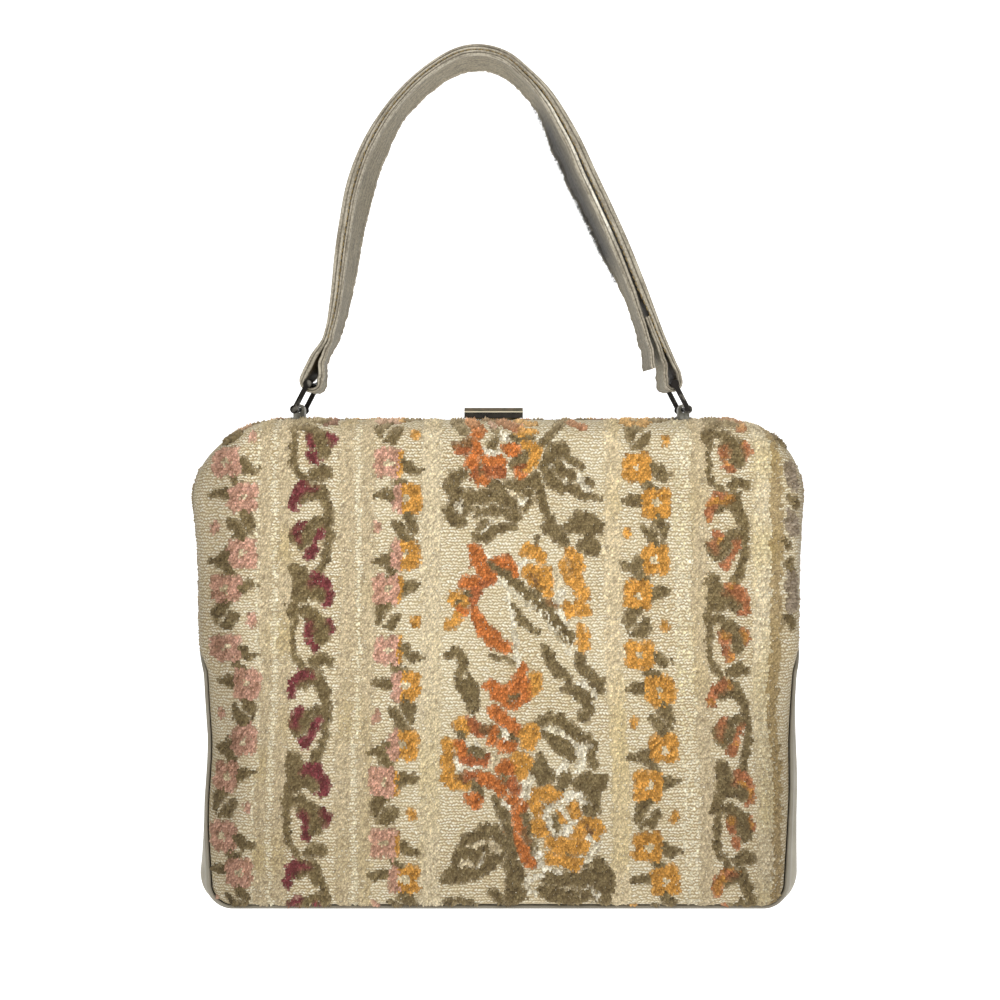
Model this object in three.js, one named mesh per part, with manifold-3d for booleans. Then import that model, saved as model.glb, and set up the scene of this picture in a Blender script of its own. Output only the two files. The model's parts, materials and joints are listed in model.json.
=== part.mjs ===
// Tapestry frame bag hanging by its strap. Sizes in mm, X right, Y to the back, Z up.
// The origin is where the underside of the strap rests on a hook.
import * as THREE from "three";
import { mergeVertices } from "three/addons/utils/BufferGeometryUtils.js";
import manifoldModule from "manifold-3d";

const wasm = await manifoldModule();
wasm.setup();

// Bag body: outline in the plane of the mouth, and how far the faces stand off it
const CENTRE_X = 10.3;
const MOUTH_Y = -3;
const TOP_Z = -179;
const BOTTOM_Z = -426.5;
const HALF_WIDTH = 153.8;
const TOP_RADIUS = 44;
const BOTTOM_RADIUS = 15;
const TOP_DEPTH = 22;
const BOTTOM_DEPTH = 36;
const FACE_CROWN = 3;
const FACE_TOP_RADIUS = 33;
const FACE_BOTTOM_RADIUS = 8;
const ROLL_POWER = 2.3;
const TOP_INSET = 13;
const SIDE_INSET = 11;
const LOW_SIDE_INSET = 17;
const BOTTOM_INSET = 9;

// Cloth and seams
const TAPESTRY_WALL = 2;
const GUSSET_WALL = 1.6;
const GAP = 0.3;
const GUSSET_TOP_REACH = 22;
const GUSSET_BOTTOM_REACH = 32;

// Metal frame
const BAR_INSET = 0.6;
const BAR_HEIGHT = 5.4;
const BAR_NEAR = 0.2;
const BAR_FAR = 6;
const LEG_LENGTH = 116;
const LEG_GAP = 0.5;
const TAB_DROP = 5.5;
const TAB_RADIUS = 4.8;
const TAB_THICKNESS = 1.5;
const RIVET_RADIUS = 1.3;
const RIVET_HEAD_RADIUS = 2.6;
const RIVET_HEAD = 0.45;
const GUSSET_SHOULDER = 11;

// Eyelets, links and their pins
const EYELET_MIDDLE_X = 6.4;
const EYELET_HALF_SPACING = 99.3;
const EYELET_PIN_HEIGHT = 4.5;
const EYELET_RADIUS = 2.9;
const EYELET_FRONT_Y = 0.7 + MOUTH_Y;
const EYELET_BACK_Y = 5.5 + MOUTH_Y;
const LINK_LENGTH = 14.5;
const LINK_LEAN = THREE.MathUtils.degToRad(28);
const LINK_PIN_RADIUS = 1.2;
const LINK_BOSS_RADIUS = 2.1;
const LINK_BAR_WIDTH = 2.4;
const LINK_PLATE_NEAR = 13;
const LINK_PLATE_FAR = 14.5;

// Strap: one strip laid double, with a loop of it round each link
const STRAP_WIDTH = 25;
const STRAP_PLY = 2.4;
const STRAP_EDGE_ROLL = 0.7;
const PLY_STEP = STRAP_PLY + 0.4;
const LEFT_LOOP_RADIUS = 5;
const RIGHT_LOOP_RADIUS = 3.7;
const LEFT_LOOP_SLACK = 0.6;
const RIGHT_LOOP_SLACK = 0.25;
const LEFT_LOOP_TWIST = -0.06;
const TAIL_FROM_ROW = 21;
const INNER_TO_ROW = 23;

// Middle of the strap's outer ply from the left loop to the right loop.
// inner: from it to the inner ply; tail: from it to the turned-back end, where there is one;
// twist: how far the back edge stands to the right of the front edge, for each mm of width.
const STRAP_ROWS = [
  { x: -88.2, z: -154.6, inner: 9.4, tail: 0, twist: -0.06 },
  { x: -83.4, z: -146.6, inner: 5.6, tail: 0, twist: -0.03 },
  { x: -78.3, z: -140.3, inner: 3.4, tail: 0, twist: 0 },
  { x: -75.5, z: -133.8, inner: PLY_STEP, tail: 0, twist: 0.04 },
  { x: -72.9, z: -121.0, inner: PLY_STEP, tail: 0, twist: 0.07 },
  { x: -70.0, z: -95.8, inner: PLY_STEP, tail: 0, twist: 0.07 },
  { x: -67.6, z: -80.2, inner: PLY_STEP, tail: 0, twist: 0.06 },
  { x: -64.0, z: -62.3, inner: PLY_STEP, tail: 0, twist: 0.05 },
  { x: -56.4, z: -42.7, inner: PLY_STEP, tail: 0, twist: 0.03 },
  { x: -43.6, z: -23.2, inner: PLY_STEP, tail: 0, twist: 0.01 },
  { x: -27.6, z: -7.6, inner: PLY_STEP, tail: 0, twist: 0 },
  { x: -10.5, z: 2.4, inner: PLY_STEP, tail: 0, twist: 0 },
  { x: 1.5, z: 4.0, inner: PLY_STEP, tail: 0, twist: 0 },
  { x: 14.0, z: 0.6, inner: PLY_STEP, tail: 0, twist: 0 },
  { x: 25.5, z: -8.4, inner: 3.2, tail: 0, twist: 0 },
  { x: 35.0, z: -18.6, inner: 3.8, tail: 0, twist: 0 },
  { x: 47.3, z: -37.9, inner: 4.6, tail: 0, twist: 0 },
  { x: 57.0, z: -57.6, inner: 5.2, tail: 0, twist: 0 },
  { x: 65.8, z: -75.6, inner: 5.4, tail: 0, twist: 0 },
  { x: 73.0, z: -91.0, inner: 5.5, tail: 0, twist: 0 },
  { x: 82.6, z: -114.0, inner: 5.8, tail: 0, twist: 0 },
  { x: 87.7, z: -126.8, inner: 6.0, tail: PLY_STEP + 0.1, twist: 0 },
  { x: 93.0, z: -139.7, inner: 7.0, tail: PLY_STEP + 0.1, twist: 0 },
  { x: 97.6, z: -149.3, inner: 10.0, tail: 4.0, twist: 0 },
  { x: 101.0, z: -155.6, inner: 11.0, tail: 7.0, twist: 0 },
];

// Clasp: sizes across the mouth (y) and above the bag's top (z)
const CLASP_X = 7.6;
const CLASP_HALF_LENGTH = 14.9;
const LEVER_WALL = 1;
const HINGE_Y = 3.4;
const HINGE_Z = 2.4;
const HINGE_PIN_RADIUS = 0.9;
const HINGE_BOSS_RADIUS = 1.5;
const LEVER_FRONT_Y = -6.8;
const LEVER_BACK_Y = 5.6;
const LEVER_LIP_Z = 0.2;
const LEVER_TOP_Z = 5.4;
const SEAT_Z = -0.4;

const COLOURS = {
  tapestry: 0xc8b486,
  vinyl: 0xc9c3b2,
  strap: 0xb9b296,
  steel: 0x8a8880,
  gunmetal: 0x34312d,
  brass: 0x7c7250,
};

const lerp = THREE.MathUtils.lerp;
const clamp = THREE.MathUtils.clamp;

// Geometry helpers

function geometryOf(points, triangles) {
  const geometry = new THREE.BufferGeometry();
  geometry.setAttribute("position", new THREE.Float32BufferAttribute(points.flat(), 3));
  geometry.setIndex(triangles.flat());
  return geometry;
}

// Closes an open surface into a wall: spots give its outside and the way out, the rim its border.
function wall(spots, triangles, rim, thickness) {
  const outside = spots.map(({ point }) => point);
  const inside = spots.map(({ point, out }) => point.map((value, axis) => value - thickness * out[axis]));
  const count = spots.length;
  const back = triangles.map(([a, b, c]) => [count + a, count + c, count + b]);
  const sides = rim.flatMap((a, i) => {
    const b = rim[(i + 1) % rim.length];
    return [[b, a, count + a], [b, count + a, count + b]];
  });
  return outward(geometryOf([...outside, ...inside], [...triangles, ...back, ...sides]));
}

// Joins a row of closed convex sections into a solid with flat ends.
function loft(sections) {
  const size = sections[0].length;
  const triangles = [];
  for (let row = 0; row + 1 < sections.length; row += 1) {
    for (let i = 0; i < size; i += 1) {
      const next = (i + 1) % size;
      const a = row * size + i;
      const b = row * size + next;
      triangles.push([a, b, b + size], [a, b + size, a + size]);
    }
  }
  const last = (sections.length - 1) * size;
  for (let i = 1; i + 1 < size; i += 1) {
    triangles.push([0, i + 1, i], [last, last + i, last + i + 1]);
  }
  return outward(geometryOf(sections.flat(), triangles));
}

function signedVolume(geometry) {
  const p = geometry.attributes.position;
  const index = geometry.index;
  const [a, b, c] = [new THREE.Vector3(), new THREE.Vector3(), new THREE.Vector3()];
  let volume = 0;
  for (let i = 0; i < index.count; i += 3) {
    a.fromBufferAttribute(p, index.getX(i));
    b.fromBufferAttribute(p, index.getX(i + 1));
    c.fromBufferAttribute(p, index.getX(i + 2));
    volume += a.dot(b.cross(c)) / 6;
  }
  return volume;
}

function outward(geometry) {
  if (signedVolume(geometry) >= 0) {
    return geometry;
  }
  geometry.setIndex(Array.from(geometry.index.array).reverse());
  return geometry;
}

function toSolid(geometry) {
  const bare = new THREE.BufferGeometry();
  bare.setAttribute("position", geometry.attributes.position);
  bare.setIndex(geometry.index);
  const merged = mergeVertices(bare, 1e-4);
  return new wasm.Manifold(new wasm.Mesh({
    numProp: 3,
    vertProperties: new Float32Array(merged.attributes.position.array),
    triVerts: new Uint32Array(merged.index.array),
  }));
}

function fromSolid(solid) {
  const mesh = solid.getMesh();
  const geometry = new THREE.BufferGeometry();
  geometry.setAttribute("position", new THREE.BufferAttribute(new Float32Array(mesh.vertProperties), 3));
  geometry.setIndex(Array.from(mesh.triVerts));
  return geometry;
}

function joined(...geometries) {
  return geometries.map(toSolid).reduce((sum, next) => sum.add(next));
}

function block(x0, x1, y0, y1, z0, z1) {
  const geometry = new THREE.BoxGeometry(x1 - x0, y1 - y0, z1 - z0);
  return geometry.translate((x0 + x1) / 2, (y0 + y1) / 2, (z0 + z1) / 2);
}

function rodAlongX(x0, x1, y, z, radius, sides = 16) {
  const geometry = new THREE.CylinderGeometry(radius, radius, x1 - x0, sides);
  return geometry.rotateZ(Math.PI / 2).translate((x0 + x1) / 2, y, z);
}

function rodAlongY(x, z, y0, y1, radius, sides = 16) {
  return new THREE.CylinderGeometry(radius, radius, y1 - y0, sides).translate(x, (y0 + y1) / 2, z);
}

// A profile in (y, z) drawn out along X
function profileAlongX(profile, x0, x1) {
  const shape = new THREE.Shape(profile.map(([y, z]) => new THREE.Vector2(y, z)));
  const geometry = new THREE.ExtrudeGeometry(shape, { depth: x1 - x0, bevelEnabled: false });
  const axes = new THREE.Matrix4().makeBasis(
    new THREE.Vector3(0, 1, 0), new THREE.Vector3(0, 0, 1), new THREE.Vector3(1, 0, 0));
  return mergeVertices(geometry.applyMatrix4(axes).translate(x0, 0, 0).deleteAttribute("normal")
    .deleteAttribute("uv"), 1e-4);
}

// Bag outline: points in order, counter-clockwise seen from the front, each straight run and corner
// with a set number of steps, so that the outline at the mouth and the face's own outline match up

function lineRun(x0, z0, x1, z1, steps) {
  return Array.from({ length: steps }, (_, i) => ({ x: lerp(x0, x1, i / steps), z: lerp(z0, z1, i / steps) }));
}

function cornerRun(cx, cz, radius, fromDegrees, steps) {
  return Array.from({ length: steps }, (_, i) => {
    const angle = THREE.MathUtils.degToRad(fromDegrees + 90 * i / steps);
    return { x: cx + radius * Math.cos(angle), z: cz + radius * Math.sin(angle) };
  });
}

const LEG_END_Z = TOP_Z - LEG_LENGTH;
const GUSSET_TOP_Z = LEG_END_Z - GUSSET_SHOULDER;
const STEPS = { bottom: 10, bottomCorner: 5, lowSide: 6, shoulder: 1, highSide: 4, topCorner: 8, top: 8 };

function outline({ half, lowHalf, top, bottom, topRadius, bottomRadius }) {
  const [cornerX, cornerZ] = [half - topRadius, top - topRadius];
  const [lowX, lowZ] = [lowHalf - bottomRadius, bottom + bottomRadius];
  return {
    bottom: lineRun(-lowX, bottom, lowX, bottom, STEPS.bottom),
    rightLow: [
      ...cornerRun(lowX, lowZ, bottomRadius, -90, STEPS.bottomCorner),
      ...lineRun(lowHalf, lowZ, half, GUSSET_TOP_Z, STEPS.lowSide),
    ],
    rightShoulder: lineRun(half, GUSSET_TOP_Z, half, LEG_END_Z, STEPS.shoulder),
    upper: [
      ...lineRun(half, LEG_END_Z, half, cornerZ, STEPS.highSide),
      ...cornerRun(cornerX, cornerZ, topRadius, 0, STEPS.topCorner),
      ...lineRun(cornerX, top, -cornerX, top, STEPS.top),
      ...cornerRun(-cornerX, cornerZ, topRadius, 90, STEPS.topCorner),
      ...lineRun(-half, cornerZ, -half, LEG_END_Z, STEPS.highSide),
    ],
    leftShoulder: lineRun(-half, LEG_END_Z, -half, GUSSET_TOP_Z, STEPS.shoulder),
    leftLow: [
      ...lineRun(-half, GUSSET_TOP_Z, -lowHalf, lowZ, STEPS.lowSide),
      ...cornerRun(-lowX, lowZ, bottomRadius, 180, STEPS.bottomCorner),
    ],
  };
}

const MOUTH = outline({
  half: HALF_WIDTH, lowHalf: HALF_WIDTH, top: TOP_Z, bottom: BOTTOM_Z,
  topRadius: TOP_RADIUS, bottomRadius: BOTTOM_RADIUS,
});
const FACE = outline({
  half: HALF_WIDTH - SIDE_INSET, lowHalf: HALF_WIDTH - LOW_SIDE_INSET,
  top: TOP_Z - TOP_INSET, bottom: BOTTOM_Z + BOTTOM_INSET,
  topRadius: FACE_TOP_RADIUS, bottomRadius: FACE_BOTTOM_RADIUS,
});

// A station pairs a point of the mouth's outline with its point of the face's outline.
function stations(name) {
  return MOUTH[name].map(({ x, z }, i) => {
    const face = FACE[name][i];
    const inset = Math.hypot(x - face.x, z - face.z);
    return { x, z, inset, nx: (x - face.x) / inset, nz: (z - face.z) / inset, depth: depthAt(face.z) };
  });
}

const [BOTTOM, RIGHT_LOW, RIGHT_SHOULDER] = ["bottom", "rightLow", "rightShoulder"].map(stations);
const [UPPER, LEFT_SHOULDER, LEFT_LOW] = ["upper", "leftShoulder", "leftLow"].map(stations);
const RING = [...BOTTOM, ...RIGHT_LOW, ...RIGHT_SHOULDER, ...UPPER, ...LEFT_SHOULDER, ...LEFT_LOW];
const FRAME_RUN = [...UPPER, ...LEFT_SHOULDER];
const GUSSET_RUN = [...LEFT_SHOULDER, ...LEFT_LOW, ...BOTTOM, ...RIGHT_LOW, ...RIGHT_SHOULDER, UPPER[0]];

// Bag section: how the surface turns from the mouth plane (across = 0) to the face

function depthAt(z) {
  return lerp(TOP_DEPTH, BOTTOM_DEPTH, clamp((TOP_Z - z) / (TOP_Z - BOTTOM_Z), 0, 1));
}

function seamAt(station) {
  const lowZ = BOTTOM_Z + BOTTOM_RADIUS;
  const low = clamp((GUSSET_TOP_Z - station.z) / (GUSSET_TOP_Z - lowZ), 0, 1);
  const shoulder = clamp((LEG_END_Z - station.z) / GUSSET_SHOULDER, 0, 1);
  return lerp(BAR_FAR + GAP / 2, lerp(GUSSET_TOP_REACH, GUSSET_BOTTOM_REACH, low), shoulder);
}

function bodySpot(station, across) {
  const { x, z, nx, nz, inset, depth } = station;
  const ratio = Math.min(Math.abs(across) / depth, 1);
  const level = 1 - ratio ** ROLL_POWER;
  const drop = inset * (1 - level ** (1 / ROLL_POWER));
  const rise = level ** (1 - 1 / ROLL_POWER);
  const run = Math.sign(across) * ratio ** (ROLL_POWER - 1) * inset / depth;
  const length = Math.hypot(rise, run);
  return {
    point: [CENTRE_X + x - nx * drop, MOUTH_Y + across, z - nz * drop],
    out: [nx * rise / length, run / length, nz * rise / length],
  };
}

// Tapestry panel: rings from the middle of the face out and round to the seam

const FACE_RINGS = [0.3, 0.6, 0.85];
const ROLL_STEPS = 6;

function faceSpot(station, share, side) {
  const middleZ = (TOP_Z + BOTTOM_Z) / 2;
  const edge = bodySpot(station, station.depth).point;
  const x = lerp(CENTRE_X, edge[0], share);
  const z = lerp(middleZ, edge[2], share);
  const y = MOUTH_Y + side * (depthAt(z) + FACE_CROWN * (1 - share * share));
  return { point: [x, y, z], out: [0, side, 0] };
}

function rollSpot(station, share, side) {
  const seam = seamAt(station) + GAP / 2;
  const last = Math.acos((seam / station.depth) ** (ROLL_POWER / 2));
  return bodySpot(station, side * station.depth * Math.cos(last * share) ** (2 / ROLL_POWER));
}

function tapestry(side) {
  const rings = [
    ...FACE_RINGS.map((share) => RING.map((s) => faceSpot(s, share, side))),
    ...Array.from({ length: ROLL_STEPS + 1 }, (_, k) => RING.map((s) => rollSpot(s, k / ROLL_STEPS, side))),
  ];
  const count = RING.length;
  const spots = [faceSpot(RING[0], 0, side), ...rings.flat()];
  const triangles = [];
  for (let i = 0; i < count; i += 1) {
    const next = (i + 1) % count;
    triangles.push([0, 1 + i, 1 + next]);
    for (let k = 0; k + 1 < rings.length; k += 1) {
      const a = 1 + k * count + i;
      const b = 1 + k * count + next;
      triangles.push([a, a + count, b + count], [a, b + count, b]);
    }
  }
  const rim = RING.map((_, i) => 1 + (rings.length - 1) * count + i);
  return wall(spots, triangles, rim, TAPESTRY_WALL);
}

// Vinyl gusset: a wedge down each side and across the bottom, between the two seams

const GUSSET_SHARES = [-1, -0.75, -0.45, -0.15, 0.15, 0.45, 0.75, 1];

function gusset() {
  const width = GUSSET_SHARES.length;
  const spots = GUSSET_RUN.flatMap((s) => (
    GUSSET_SHARES.map((share) => bodySpot(s, share * (seamAt(s) - GAP / 2)))));
  const rows = GUSSET_RUN.length;
  const triangles = [];
  for (let row = 0; row + 1 < rows; row += 1) {
    for (let i = 0; i + 1 < width; i += 1) {
      const a = row * width + i;
      triangles.push([a, a + width + 1, a + width], [a, a + 1, a + width + 1]);
    }
  }
  const rim = [
    ...Array.from({ length: rows }, (_, row) => row * width).reverse(),
    ...Array.from({ length: width - 2 }, (_, i) => i + 1),
    ...Array.from({ length: rows }, (_, row) => row * width + width - 1),
    ...Array.from({ length: width - 2 }, (_, i) => rows * width - 2 - i),
  ];
  return wall(spots, triangles, rim, GUSSET_WALL);
}

// Frame: one bar each side of the mouth, its legs ending in round tabs on a rivet

const PIVOT_Z = LEG_END_Z - TAB_DROP;
const BACK_TAB_X = HALF_WIDTH - BAR_INSET - BAR_HEIGHT;
const FRONT_TAB_X = BACK_TAB_X + TAB_THICKNESS + GAP;
const RIVET_OUT_X = FRONT_TAB_X + TAB_THICKNESS + GAP;
const RIVET_IN_X = BACK_TAB_X - GAP;

function barSection(station, side) {
  const corners = [
    [BAR_INSET, BAR_NEAR], [BAR_INSET, BAR_FAR],
    [BAR_INSET + BAR_HEIGHT, BAR_FAR], [BAR_INSET + BAR_HEIGHT, BAR_NEAR],
  ];
  return corners.map(([inset, across]) => [
    CENTRE_X + station.x - station.nx * inset, MOUTH_Y + side * across, station.z - station.nz * inset]);
}

function spanX(sideX, inner, outer) {
  const ends = [CENTRE_X + sideX * inner, CENTRE_X + sideX * outer];
  return [Math.min(...ends), Math.max(...ends)];
}

function frame(side) {
  const run = FRAME_RUN.map((s) => ({ ...s, z: Math.max(s.z, LEG_END_Z + LEG_GAP) }));
  let solid = toSolid(loft(run.map((s) => barSection(s, side))));
  const tabX = side < 0 ? FRONT_TAB_X : BACK_TAB_X;
  const [nearY, farY] = [MOUTH_Y + side * BAR_NEAR, MOUTH_Y + side * BAR_FAR];
  for (const sideX of [-1, 1]) {
    const [x0, x1] = spanX(sideX, tabX, tabX + TAB_THICKNESS);
    const neck = block(x0, x1, Math.min(nearY, farY), Math.max(nearY, farY), PIVOT_Z, LEG_END_Z + 1);
    const disc = rodAlongX(x0, x1, MOUTH_Y, PIVOT_Z, TAB_RADIUS, 20);
    const hole = rodAlongX(x0 - 1, x1 + 1, MOUTH_Y, PIVOT_Z, RIVET_RADIUS + GAP, 14);
    solid = solid.add(joined(neck, disc)).subtract(toSolid(hole));
  }
  return fromSolid(solid);
}

function rivet(sideX) {
  const rod = (inner, outer, radius) => (
    rodAlongX(...spanX(sideX, inner, outer), MOUTH_Y, PIVOT_Z, radius, 14));
  return fromSolid(joined(
    rod(RIVET_IN_X - RIVET_HEAD, RIVET_OUT_X + RIVET_HEAD, RIVET_RADIUS),
    rod(RIVET_IN_X - RIVET_HEAD, RIVET_IN_X, RIVET_HEAD_RADIUS),
    rod(RIVET_OUT_X, RIVET_OUT_X + RIVET_HEAD, RIVET_HEAD_RADIUS)));
}

// Eyelets on the back bar, and the links that hang the bag from the strap's loops

const EYELET_Y = (EYELET_FRONT_Y + EYELET_BACK_Y) / 2;

function eyeletPin(sideX) {
  return { x: EYELET_MIDDLE_X + sideX * EYELET_HALF_SPACING, z: TOP_Z + EYELET_PIN_HEIGHT };
}

function strapPin(sideX) {
  const low = eyeletPin(sideX);
  return {
    x: low.x - sideX * LINK_LENGTH * Math.sin(LINK_LEAN),
    z: low.z + LINK_LENGTH * Math.cos(LINK_LEAN),
  };
}

function eyelet(sideX) {
  const { x, z } = eyeletPin(sideX);
  const seat = TOP_Z + SEAT_Z;
  const body = joined(
    block(x - 4, x + 4, EYELET_FRONT_Y, EYELET_BACK_Y, seat, seat + 1),
    block(x - EYELET_RADIUS, x + EYELET_RADIUS, EYELET_FRONT_Y, EYELET_BACK_Y, seat, z),
    rodAlongY(x, z, EYELET_FRONT_Y, EYELET_BACK_Y, EYELET_RADIUS, 20));
  const hole = rodAlongY(x, z, EYELET_FRONT_Y - 1, EYELET_BACK_Y + 1, LINK_PIN_RADIUS + GAP, 16);
  return fromSolid(body.subtract(toSolid(hole)));
}

function link(sideX) {
  const low = eyeletPin(sideX);
  const high = strapPin(sideX);
  const bar = (y0, y1) => block(-LINK_BAR_WIDTH / 2, LINK_BAR_WIDTH / 2, y0, y1, 0, LINK_LENGTH)
    .rotateY(-sideX * LINK_LEAN).translate(low.x, 0, low.z);
  const pieces = [low, high].map(({ x, z }) => (
    rodAlongY(x, z, EYELET_Y - LINK_PLATE_FAR + 0.2, EYELET_Y + LINK_PLATE_FAR - 0.2, LINK_PIN_RADIUS)));
  for (const [y0, y1] of [[-LINK_PLATE_FAR, -LINK_PLATE_NEAR], [LINK_PLATE_NEAR, LINK_PLATE_FAR]]) {
    pieces.push(bar(EYELET_Y + y0 + 0.2, EYELET_Y + y1 - 0.2));
    for (const { x, z } of [low, high]) {
      pieces.push(rodAlongY(x, z, EYELET_Y + y0, EYELET_Y + y1, LINK_BOSS_RADIUS));
    }
  }
  return fromSolid(joined(...pieces));
}

// Strap: from the turned-back end round the right loop, over the top, round the left loop and back

function loopCentre(sideX, radius, slack) {
  const pin = strapPin(sideX);
  const lift = radius - STRAP_PLY / 2 - LINK_PIN_RADIUS - slack;
  return {
    x: pin.x - sideX * lift * Math.sin(LINK_LEAN),
    z: pin.z + lift * Math.cos(LINK_LEAN),
    radius,
  };
}

const LEFT_LOOP = loopCentre(-1, LEFT_LOOP_RADIUS, LEFT_LOOP_SLACK);
const RIGHT_LOOP = loopCentre(1, RIGHT_LOOP_RADIUS, RIGHT_LOOP_SLACK);

function loopArc(loop, twist, fromDegrees, toDegrees, steps) {
  return Array.from({ length: steps + 1 }, (_, i) => {
    const angle = THREE.MathUtils.degToRad(lerp(fromDegrees, toDegrees, i / steps));
    return { x: loop.x + loop.radius * Math.cos(angle), z: loop.z + loop.radius * Math.sin(angle), twist };
  });
}

// Smooth curve through the rows, with the plies' distances and the twist carried along it
function strapCurve(perRow) {
  const route = new THREE.CatmullRomCurve3(STRAP_ROWS.map((r) => new THREE.Vector3(r.x, 0, r.z)));
  const carried = new THREE.CatmullRomCurve3(
    STRAP_ROWS.map((r) => new THREE.Vector3(r.inner, r.tail, r.twist)), false, "catmullrom", 0);
  const steps = (STRAP_ROWS.length - 1) * perRow;
  return Array.from({ length: steps + 1 }, (_, i) => {
    const point = route.getPoint(i / steps);
    const way = route.getTangent(i / steps);
    const { x: inner, y: tail, z: twist } = carried.getPoint(i / steps);
    return { x: point.x, z: point.z, inX: way.z, inZ: -way.x, inner, tail, twist, row: i / perRow };
  });
}

function plyRun(curve, offset) {
  return curve.map((p) => ({ x: p.x + p.inX * offset(p), z: p.z + p.inZ * offset(p), twist: p.twist }));
}

function strapRoute() {
  const curve = strapCurve(2);
  return [
    ...plyRun(curve.filter((p) => p.row >= TAIL_FROM_ROW), (p) => p.tail),
    ...loopArc(RIGHT_LOOP, 0, 172, 375, 9),
    ...plyRun(curve, () => 0).reverse(),
    ...loopArc(LEFT_LOOP, LEFT_LOOP_TWIST, 165, 350, 9),
    ...plyRun(curve.filter((p) => p.row <= INNER_TO_ROW), (p) => p.inner),
  ];
}

function strapSection(route, i) {
  const before = route[Math.max(i - 1, 0)];
  const after = route[Math.min(i + 1, route.length - 1)];
  const length = Math.hypot(after.x - before.x, after.z - before.z);
  const [nx, nz] = [-(after.z - before.z) / length, (after.x - before.x) / length];
  const isEnd = i === 0 || i === route.length - 1;
  const half = STRAP_WIDTH / 2 - (isEnd ? 3 : 0);
  const flat = half - STRAP_EDGE_ROLL;
  const ply = STRAP_PLY / 2;
  const low = ply - STRAP_EDGE_ROLL;
  const corners = [
    [ply, -flat], [ply, flat], [low, half], [-low, half],
    [-ply, flat], [-ply, -flat], [-low, -half], [low, -half],
  ];
  const { x, z, twist } = route[i];
  return corners.map(([out, y]) => [x + nx * out + twist * y, EYELET_Y + y, z + nz * out]);
}

function strap() {
  const route = strapRoute();
  return loft(route.map((_, i) => strapSection(route, i)));
}

// Clasp: hinge block on the back bar, catch on the front bar, and the lever over both

function claspBase() {
  const reach = CLASP_HALF_LENGTH - LEVER_WALL - GAP;
  const [y, z] = [MOUTH_Y + HINGE_Y, TOP_Z + HINGE_Z];
  return fromSolid(joined(
    block(CLASP_X - reach, CLASP_X + reach, MOUTH_Y + 0.6, MOUTH_Y + 5, TOP_Z + SEAT_Z, TOP_Z + 1.8),
    rodAlongX(CLASP_X - reach, CLASP_X + reach, y, z, HINGE_BOSS_RADIUS),
    rodAlongX(CLASP_X - CLASP_HALF_LENGTH, CLASP_X + CLASP_HALF_LENGTH, y, z, HINGE_PIN_RADIUS, 12)));
}

function claspCatch() {
  const profile = [[-5.4, SEAT_Z], [-0.8, SEAT_Z], [-0.8, 0.8], [-3.6, 1.8], [-4.6, 1.8], [-5.4, 1.2]];
  const placed = profile.map(([y, z]) => [MOUTH_Y + y, TOP_Z + z]);
  return profileAlongX(placed, CLASP_X - 9, CLASP_X + 9);
}

function claspLever() {
  const place = ([y, z]) => [MOUTH_Y + y, TOP_Z + z];
  const outside = [
    [LEVER_FRONT_Y, LEVER_LIP_Z], [LEVER_FRONT_Y, 2.9], [LEVER_FRONT_Y - 0.35, 3.1],
    [LEVER_FRONT_Y - 0.35, 3.5], [LEVER_FRONT_Y + 0.3, 3.8], [-3.6, LEVER_TOP_Z],
    [LEVER_BACK_Y - 1.2, LEVER_TOP_Z], [LEVER_BACK_Y, LEVER_TOP_Z - 1],
  ];
  const inside = [
    [LEVER_BACK_Y - 0.6, LEVER_TOP_Z - LEVER_WALL], [-3.3, LEVER_TOP_Z - LEVER_WALL],
    [LEVER_FRONT_Y + LEVER_WALL, 3.1], [LEVER_FRONT_Y + LEVER_WALL, LEVER_LIP_Z],
  ];
  const end = [...outside, [LEVER_BACK_Y, 1.6], [HINGE_Y, 0.6], [LEVER_FRONT_Y + LEVER_WALL, LEVER_LIP_Z]];
  const cover = profileAlongX([...outside, ...inside].map(place).reverse(),
    CLASP_X - CLASP_HALF_LENGTH, CLASP_X + CLASP_HALF_LENGTH);
  const cheek = (x0) => profileAlongX(end.map(place).reverse(), x0, x0 + LEVER_WALL);
  const hole = rodAlongX(CLASP_X - CLASP_HALF_LENGTH - 1, CLASP_X + CLASP_HALF_LENGTH + 1,
    MOUTH_Y + HINGE_Y, TOP_Z + HINGE_Z, HINGE_PIN_RADIUS + GAP, 14);
  const solid = joined(outward(cover), outward(cheek(CLASP_X - CLASP_HALF_LENGTH)),
    outward(cheek(CLASP_X + CLASP_HALF_LENGTH - LEVER_WALL)));
  return fromSolid(solid.subtract(toSolid(hole)));
}

// Assembly

const bag = new THREE.Group();
bag.name = "tapestry_frame_bag";

function addPiece(name, geometry, colour, metalness = 0) {
  const material = new THREE.MeshStandardMaterial({ color: COLOURS[colour], metalness, roughness: 0.7 });
  const mesh = new THREE.Mesh(geometry, material);
  mesh.name = name;
  bag.add(mesh);
}

addPiece("tapestry_front", tapestry(-1), "tapestry");
addPiece("tapestry_back", tapestry(1), "tapestry");
addPiece("gusset", gusset(), "vinyl");
addPiece("frame_front", frame(-1), "gunmetal", 1);
addPiece("frame_back", frame(1), "gunmetal", 1);
addPiece("frame_rivet_left", rivet(-1), "steel", 1);
addPiece("frame_rivet_right", rivet(1), "steel", 1);
addPiece("eyelet_left", eyelet(-1), "steel", 1);
addPiece("eyelet_right", eyelet(1), "steel", 1);
addPiece("link_left", link(-1), "gunmetal", 1);
addPiece("link_right", link(1), "gunmetal", 1);
addPiece("handle_strap", strap(), "strap");
addPiece("clasp_base", claspBase(), "brass", 1);
addPiece("clasp_catch", claspCatch(), "brass", 1);
addPiece("clasp_lever", claspLever(), "brass", 1);

export default bag;
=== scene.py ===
import json
import math

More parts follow.
